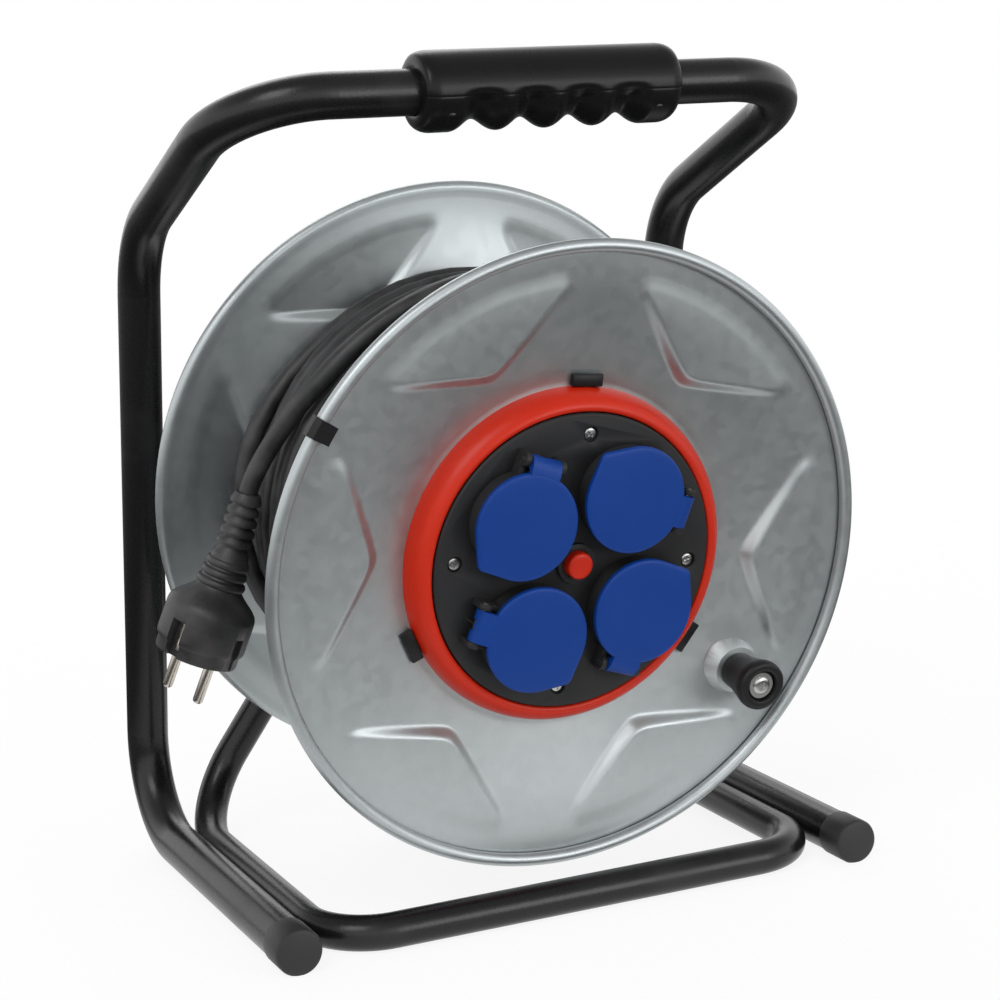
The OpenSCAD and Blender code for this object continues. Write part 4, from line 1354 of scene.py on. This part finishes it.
@dataclass
class PressedFlange:
    """One dished flange with six pressed petals and a rolled rim."""

    rim_r: float = 142.0
    bead_r: float = 3.0
    sheet: float = 1.0
    dish: float = 12.0
    flat_r: float = 79.0
    cone_end_r: float = 138.0
    pad_end_r: float = 131.0
    border_r: float = 112.0
    border_sink: float = 2.0
    petal_rise: float = 4.0
    foot_r: float = 89.0
    crest_r: float = 97.5
    foot_slant: float = 60.0
    crest_slant: float = 66.0
    half_angle: float = 20.0
    fold_half: float = 2.6
    # Degrees: rounding of the petals' points, their widest half, and the fade past their sides
    point_round: float = 2.2
    widest: float = 24.0
    side_fade: float = 3.0
    # The petals sink by this share over the last stretch before their outer end
    end_fade: float = 7.0
    end_drop: float = 0.4
    # Share of the cone over which it rounds into the flat middle
    flat_round: float = 0.03
    # Outer radii before the rim: where the fine rings start, their step and their number
    fine_from: float = 87.5
    fine_step: float = 0.75
    fine_rings: int = 59
    curl_rings: int = 19
    curl_step: float = 16.7
    columns: int = 480
    front_inner_r: float = 66.5
    rear_inner_r: float = 17.3
    rear_z: float = -147.0

    def cone_z(self, r: float) -> float:
        """Height of the plain dished sheet, with its folds rounded.

        Args:
            r: distance from the axle.

        Returns:
            The height, below the rim's middle.
        """
        share = min(1.0, (self.cone_end_r - r) / (self.cone_end_r - self.flat_r))
        soft = self.flat_round
        if share >= 1 - soft:
            share = 1 - max(0.0, 1 + soft - share) ** 2 / (4 * soft)
        out = max(0.0, (r - self.border_r) / (self.cone_end_r - self.border_r))
        return -self.dish * share - self.border_sink * out * out

    def rise(self, r: float, degrees: float) -> float:
        """Height of the pressed petals above the plain sheet.

        Args:
            r: distance from the axle.
            degrees: angle round the axle.

        Returns:
            The height to be added.
        """
        from_middle = abs((degrees + 30.0) % 60.0 - 30.0)
        rounded = math.hypot(from_middle, self.point_round) - 0.5 * self.point_round
        bent = math.radians(min(rounded, self.widest))
        foot_slant = math.radians(self.foot_slant)
        crest_slant = math.radians(self.crest_slant)
        foot = self.foot_r * math.sin(foot_slant) / math.sin(foot_slant - bent)
        crest = self.crest_r * math.sin(crest_slant) / math.sin(crest_slant - bent)
        if r <= foot or r >= self.pad_end_r:
            return 0.0
        top = self.petal_rise * (self.pad_end_r - r) / (self.pad_end_r - self.crest_r)
        fold = 0.5 * (foot + crest)
        low, high = fold - self.fold_half, fold + self.fold_half
        straight = min(1.0, max(0.0, (r - low) / (high - low)))
        wall = 0.6 * straight + 0.4 * eased(low, high, r)
        side = 1 - eased(self.half_angle - 0.5, self.half_angle + self.side_fade, from_middle)
        ending = 1 - eased(self.pad_end_r - self.end_fade, self.pad_end_r, r) * self.end_drop
        return min(top, self.petal_rise) * wall * side * ending

    def shape(self, name: str, inner_r: float) -> bpy.types.Object:
        """The flange in the drum's frame.

        Args:
            name: the piece's name.
            inner_r: radius of its opening.

        Returns:
            The new piece.
        """
        radii = [inner_r, inner_r + 2.0, 74.0, 77.0, 78.2, 79.0, 79.8, 81.0, 83.0, 85.5]
        radii = [r for r in radii if r >= inner_r]
        radii += [self.fine_from + self.fine_step * k for k in range(self.fine_rings)]
        radii += [133.0, 135.0, 137.0]
        profile = [(r, self.cone_z(r)) for r in radii]
        profile += [(self.cone_end_r, -self.border_sink), (140.4, -self.border_sink)]
        curl_r = self.bead_r - self.sheet
        for k in range(self.curl_rings):
            angle = math.radians(self.curl_step * k - 90)
            profile.append((self.rim_r + curl_r * math.cos(angle), curl_r * math.sin(angle)))
        flange = Bench.turned(name, profile, self.columns)

        def press(at: Vector) -> Vector:
            """Lifts a point of the plain sheet onto its petal.

            Args:
                at: the point.

            Returns:
                Its new place.
            """
            r = math.hypot(at.x, at.y)
            if r < self.pad_end_r and at.z < 0.5:
                at.z += self.rise(r, math.degrees(math.atan2(at.y, at.x)))
            return at

        Bench.pressed(flange, press)
        Bench.edit(flange)
        bpy.ops.mesh.normals_make_consistent(inside=False)
        Bench.close()
        if sum(face.normal.z for face in flange.data.polygons) < 0:
            Bench.edit(flange)
            bpy.ops.mesh.flip_normals()
            Bench.close()
        return Bench.modify(flange, "SOLIDIFY", thickness=self.sheet, offset=-1.0)

    def build(self) -> None:
        """Makes both flanges."""
        front = self.shape("front_flange_sheet", self.front_inner_r)
        Bench.finished(front, PLACES.drum, FINISHES.sheet, Body.DRUM, ["front_flange"], 50)
        rear = self.shape("rear_flange_sheet", self.rear_inner_r)
        back = PLACES.drum @ shift(0, 0, self.rear_z) @ turn(180, "X")
        Bench.finished(rear, back, FINISHES.sheet, Body.DRUM, ["rear_flange"], 50)


@dataclass
class SocketFace:
    """Coloured ring, plate, sockets, sprung lids and reset button."""

    lid_r: float = 24.3
    lid_under: float = 9.6
    lid_top: float = 13.2
    hinge_x: float = 27.9
    hinge_z: float = 7.1
    lip_turn: float = 145.0
    lip_reach: float = 28.2
    # The lip's end is nearly flat: it lies this much lower, and bows out by this per degree
    lip_flat: float = 0.55
    lip_bow: float = 0.04
    drawn_r: float = 20.5
    tongue_half: float = 7.2
    # Cuts round the hinge pin: [radius, half width], the bore and the room for the spring
    hinge_cuts: tuple[Pair, Pair] = ((1.55, 12.0), (3.25, 2.6))
    button_r: float = 6.2
    button_top: float = 7.0
    button_foot: float = -11.7
    screw_seat: float = -1.9
    screw_offset: float = 58.4

    def ring(self) -> None:
        """The coloured collar round the plate."""
        profile = [
            (68.4, -12.0), (68.4, -1.6), (68.5, -1.1), (68.8, -0.6), (69.3, -0.25), (70.0, -0.05),
            (70.9, -0.15), (72.0, -0.65), (73.2, -1.5), (74.4, -2.7), (75.4, -4.2), (76.3, -6.0),
            (76.9, -8.0), (77.3, -10.0), (77.5, -12.0), (75.0, -12.0), (70.0, -5.0),
            (69.9, -12.0), (68.4, -12.0),
        ]
        ring = Bench.turned("collar_ring", profile, 192)
        Bench.finished(ring, PLACES.drum, FINISHES.red, Body.DRUM, ["socket_ring"], 35)

    def lid_reach(self, degrees: float) -> float:
        """Distance of a lid's edge from its middle: a disc drawn out to a finger lip.

        Args:
            degrees: angle round the lid's middle, from its hinge.

        Returns:
            The distance.
        """
        half = math.degrees(math.acos(self.lid_r / self.lip_reach))
        off = abs((degrees - self.lip_turn + 180) % 360 - 180)
        if off >= half:
            return self.lid_r
        reach = self.lid_r / math.cos(math.radians(half - off))
        return min(reach, self.lip_reach - self.lip_flat + self.lip_bow * off)

    def lid(self) -> bpy.types.Object:
        """A sprung lid in its socket's frame: smooth disc, lip, seal and hinge tongue.

        Returns:
            The new piece.
        """
        low, top = self.lid_under, self.lid_top
        disc = Bench.turned("lid", [
            (0, low + 1.4), (18.9, low + 1.4), (19.0, low + 1.3), (19.0, low + 0.1), (19.1, low),
            (23.6, low), (24.0, low + 0.1), (24.25, low + 0.45), (self.lid_r, low + 1.0),
            (self.lid_r, top - 1.5), (24.2, top - 1.05), (23.9, top - 0.7), (23.4, top - 0.5),
            (22.6, top - 0.4), (21.4, top - 0.28), (17.0, top - 0.12), (9.0, top - 0.02), (0, top),
        ], 144)

        def draw(at: Vector) -> Vector:
            """Draws the disc's border out to the lip.

            Args:
                at: the point.

            Returns:
                Its new place.
            """
            r = math.hypot(at.x, at.y)
            if r < self.drawn_r:
                return at
            more = self.lid_reach(math.degrees(math.atan2(at.y, at.x))) - self.lid_r
            scale = 1 + more * (r - self.drawn_r) / (self.lid_r - self.drawn_r) / r
            return Vector((at.x * scale, at.y * scale, at.z))

        Bench.pressed(disc, draw)
        pin = self.hinge_z
        side_view = [
            (19.0, low + 0.9), (19.0, top - 0.45), (24.0, top - 0.5), (26.4, top - 0.8),
            (28.6, top - 1.7), (30.2, top - 3.2), (30.9, top - 4.8), (31.0, pin),
            (30.5, pin - 1.8), (29.3, pin - 2.8), (27.9, pin - 3.1), (26.5, pin - 2.8),
            (25.4, pin - 1.8), (24.9, pin), (25.1, low - 0.4), (24.2, low + 0.4),
            (22.5, low + 0.9),
        ]
        tongue = Bench.slab("tongue", side_view, -self.tongue_half, self.tongue_half)
        Bench.placed(tongue, turn(90, "X"))
        tools = []
        for radius, half in self.hinge_cuts:
            rod = [(0, -half), (radius, -half), (radius, half), (0, half)]
            tool = Bench.turned("pin_tool", rod, 48)
            at = shift(self.hinge_x, 0, self.hinge_z) @ turn(90, "X")
            tools.append(Bench.placed(tool, at))
        Bench.cut(tongue, *tools)
        Bench.bevelled(tongue, 0.5, 3)
        seal = Bench.turned(
            "seal", [(19.6, low + 1.0), (19.6, low + 0.02), (21.4, low + 0.02), (21.4, low + 1.0)],
            96,
        )
        return Bench.joined("lid", [disc, tongue, seal])

    def lids(self) -> None:
        """Four lids, each on its own hinge."""
        model = self.lid()
        for index, body in enumerate(LID_BODIES):
            lid = Bench.copied(model, f"socket_lid_shell_{index + 1}")
            Bench.finished(
                lid, PLACES.socket(index), FINISHES.blue, body, [f"socket_lid_{index + 1}"], 40
            )
        bpy.data.objects.remove(model)

    def screw(self) -> bpy.types.Object:
        """A pan-head screw with a crossed slot.

        Returns:
            The new piece, along Z.
        """
        seat = self.screw_seat
        screw = Bench.turned("screw", [
            (0, seat - 13), (1.8, seat - 13), (1.8, seat), (3.0, seat), (3.0, seat + 0.75),
            (2.7, seat + 1.15), (2.1, seat + 1.35), (0, seat + 1.4),
        ], 40)
        return Bench.crossed(screw, seat + 1.4, (3.4, 0.7, 1.4))

    def screws(self) -> None:
        """Four screws in the plate."""
        model = self.screw()
        heads = []
        for k in range(4):
            head = Bench.copied(model, "head")
            at = turn(90 * k, "Z") @ shift(self.screw_offset)
            heads.append(Bench.placed(head, at @ turn(17 + 31 * k, "Z")))
        bpy.data.objects.remove(model)
        screws = Bench.joined("plate_screw_heads", heads)
        Bench.finished(screws, PLACES.drum, FINISHES.steel, Body.DRUM, ["plate_screws"], 35)

    def button(self) -> None:
        """The reset button with its domed top."""
        r, top = self.button_r, self.button_top
        profile = [
            (0, self.button_foot), (r, self.button_foot), (r, top - 1.5), (r - 0.2, top - 0.9),
            (r - 0.7, top - 0.45), (r - 1.5, top - 0.2), (r - 3, top - 0.08), (0, top),
        ]
        button = Bench.turned("reset_button_cap", profile, 64)
        Bench.finished(button, PLACES.drum, FINISHES.red, Body.BUTTON, ["reset_button"], 50)

    def build(self, frame: dict[str, Any]) -> None:
        """Makes the socket face.
        """
        self.ring()
        self.lids()
        self.screws()
        self.button()
        Bench.refined(frame, "socket_plate", FINISHES.dark, Body.DRUM, 0.25)
        Bench.refined(frame, "ring_latches", FINISHES.black, Body.DRUM, 0.35)
        for index in range(4):
            Bench.refined(frame, f"socket_insert_{index + 1}", FINISHES.dark, Body.DRUM, 0.25)


@dataclass
class Knob:
    """Winding knob on its pressed seat."""

    base: float = -3.0
    top: float = 20.0
    head_r: float = 11.8
    foot_r: float = 8.6
    axle_r: float = 3.05

    def handle(self) -> bpy.types.Object:
        """The tapering knob with its rounded head and sunk end face.

        Returns:
            The new piece, in the knob's frame.
        """
        b, t, head, foot = self.base, self.top, self.head_r, self.foot_r
        profile = [
            (self.axle_r, b), (foot - 0.5, b), (foot - 0.1, b + 0.2), (foot, b + 0.7),
            (foot + 0.25, b + 6.0), (foot + 1.3, b + 11.0), (head - 0.8, t - 7.2),
            (head - 0.35, t - 5.8), (head, t - 4.2), (head, t - 2.2), (head - 0.25, t - 1.2),
            (head - 0.8, t - 0.5), (head - 1.6, t - 0.1), (head - 2.4, t), (8.3, t),
            (7.6, t - 0.3), (7.3, t - 0.9), (7.3, t - 3.3), (self.axle_r, t - 3.3),
            (self.axle_r, b),
        ]
        return Bench.turned("knob_handle", profile, 96)

    def axle(self) -> bpy.types.Object:
        """Axle, washer and crossed screw head.

        Returns:
            The new piece, in the knob's frame.
        """
        t = self.top
        profile = [
            (0, -4.3), (3.0, -4.3), (3.0, t - 3.0), (6.0, t - 3.0), (6.4, t - 2.7),
            (6.4, t - 2.1), (6.1, t - 1.8), (4.2, t - 1.8), (4.1, t - 1.3), (3.5, t - 0.8),
            (2.4, t - 0.62), (0, t - 0.6),
        ]
        axle = Bench.turned("knob_axle_screw", profile, 64)
        return Bench.crossed(axle, t - 0.5, (3.6, 0.8, 1.6))

    def build(self, frame: dict[str, Any]) -> None:
        """Makes the knob, its axle and its seat.
        """
        Bench.finished(
            self.handle(), PLACES.knob, FINISHES.black, Body.KNOB, ["winding_knob"], 40
        )
        Bench.finished(self.axle(), PLACES.knob, FINISHES.steel, Body.DRUM, ["knob_axle"], 35)
        Bench.refined(frame, "knob_seat", FINISHES.sheet, Body.DRUM, 0.3)


# ---- Stand ----


@dataclass
class Grip:
    """Two half shells with four finger grooves below."""

    length: float = 124.0
    radius: float = 17.5
    bore: float = 10.05
    groove_depth: float = 5.2
    groove_pitch: float = 23.5
    # How far down a place faces, 0 at the side and 1 below, where the grooves start and are full
    groove_edge: Pair = (-0.22, 0.28)
    # The ends are rounded over this length, by this depth, and by more below
    end_round: float = 7.0
    end_depth: float = 3.2
    end_depth_below: float = 1.6
    rings: int = 140
    end_ring: float = 1.3
    seam: float = 0.04

    def groove(self, x: float) -> float:
        """Share of the full groove depth along the grip.

        Args:
            x: distance from the grip's middle.

        Returns:
            The share, 0 to 1.
        """
        if abs(x) >= 2 * self.groove_pitch:
            return 0.0
        return 0.5 - 0.5 * math.cos(2 * math.pi * x / self.groove_pitch)

    def whole(self) -> bpy.types.Object:
        """Both shells in one, along Z, with the grooves pressed in.

        Returns:
            The new piece.
        """
        half, r, end = self.length / 2, self.radius, self.end_ring
        profile = [(self.bore, -half), (r - 1.6, -half), (r - 0.6, -half + 0.35)]
        profile += [
            (r, -half + end + (self.length - 2 * end) * k / self.rings)
            for k in range(self.rings + 1)
        ]
        profile += [(r - 0.6, half - 0.35), (r - 1.6, half), (self.bore, half)]
        profile.append(profile[0])
        whole = Bench.turned("grip", profile, 96)

        def squeeze(at: Vector) -> Vector:
            """Presses the finger grooves into the lower side and rounds both ends.

            Args:
                at: the point.

            Returns:
                Its new place.
            """
            r = math.hypot(at.x, at.y)
            if r < self.bore + 1:
                return at
            down = -at.y / r
            weight = eased(*self.groove_edge, down)
            depth = self.groove_depth * self.groove(at.z) * weight
            near_end = max(0.0, self.end_round - (half - abs(at.z))) / self.end_round
            end_depth = self.end_depth + self.end_depth_below * weight
            depth += end_depth * (1 - math.sqrt(max(0.0, 1 - near_end ** 2)))
            scale = 1 - depth / self.radius
            return Vector((at.x * scale, at.y * scale, at.z))

        return Bench.pressed(whole, squeeze)

    def half(self, name: str, upper: bool) -> bpy.types.Object:
        """One shell of the grip.

        Args:
            name: the piece's name.
            upper: whether it is the upper one.

        Returns:
            The shell, with the grip's axis along X and up along Z.
        """
        shell = Bench.placed(self.whole(), turn(90, "Z") @ turn(90, "X"))
        shell.name = name
        Bench.edit(shell)
        bpy.ops.mesh.bisect(
            plane_co=(0, 0, self.seam if upper else 0.0), plane_no=(0, 0, 1), use_fill=True,
            clear_inner=upper, clear_outer=not upper,
        )
        Bench.close()
        return Bench.bevelled(shell, 0.12, 2)

    def build(self) -> None:
        """Makes both shells."""
        for name, upper in (("grip_upper", True), ("grip_lower", False)):
            shell = self.half(name, upper)
            Bench.finished(shell, PLACES.bar, FINISHES.grip, Body.STAND, [name + "_shell"], 40)


@dataclass
class Stand:
    """Tubes, caps and the plate that carries the spindle."""

    refined_nodes: dict[str, Finish] = field(default_factory=lambda: {
        "hoop_tube": FINISHES.coat,
        "inner_frame_tube": FINISHES.coat,
    })
    edged_nodes: dict[str, Finish] = field(default_factory=lambda: {
        "axle_plate": FINISHES.coat,
        "foot_cap_left": FINISHES.cap,
        "foot_cap_right": FINISHES.cap,
        "spindle_bolts": FINISHES.steel,
        "spindle_nuts": FINISHES.steel,
        "grip_screws": FINISHES.blackened,
    })
    edge: float = 0.4

    def build(self, frame: dict[str, Any]) -> None:
        """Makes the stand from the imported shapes.
        """
        for node, finish in self.refined_nodes.items():
            Bench.refined(frame, node, finish, Body.STAND)
        for node, finish in self.edged_nodes.items():
            Bench.refined(frame, node, finish, Body.STAND, self.edge)
        Grip().build()


@dataclass
class Insides:
    """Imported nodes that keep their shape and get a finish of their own."""

    finishes: dict[str, Finish] = field(default_factory=lambda: {
        "axle_spindle": FINISHES.steel,
        "spindle_retainer": FINISHES.steel,
        "drum_core": FINISHES.sheet,
        "hub_carrier": FINISHES.black,
        "hub_bushes": FINISHES.nylon,
        "hub_rivets": FINISHES.steel,
        "socket_housing": FINISHES.black,
        "socket_contacts": FINISHES.brass,
        "earth_clips": FINISHES.pin,
        "lid_pins": FINISHES.steel,
        "lid_springs": FINISHES.steel,
        "thermal_cutout": FINISHES.dark,
        "rim_clip": FINISHES.black,
        "knob_nut": FINISHES.steel,
    })

    def build(self, frame: dict[str, Any]) -> None:
        """Paints each node.
        """
        for name, finish in self.finishes.items():
            mesh = frame["nodes"][name].data
            mesh.materials.clear()
            mesh.materials.append(finish.material())
            LOG.info("%s: painted", name)


def main() -> None:
    """Builds the studio and the reel."""
    logging.basicConfig(level=logging.INFO, format="%(message)s")
    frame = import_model()
    Studio().build()
    cable = Cable()
    line, route = cable.build()
    ends = Plug().build()
    PressedFlange().build()
    SocketFace().build(frame)
    Knob().build(frame)
    Stand().build(frame)
    Insides().build(frame)


if __name__ == "__main__":
    main()
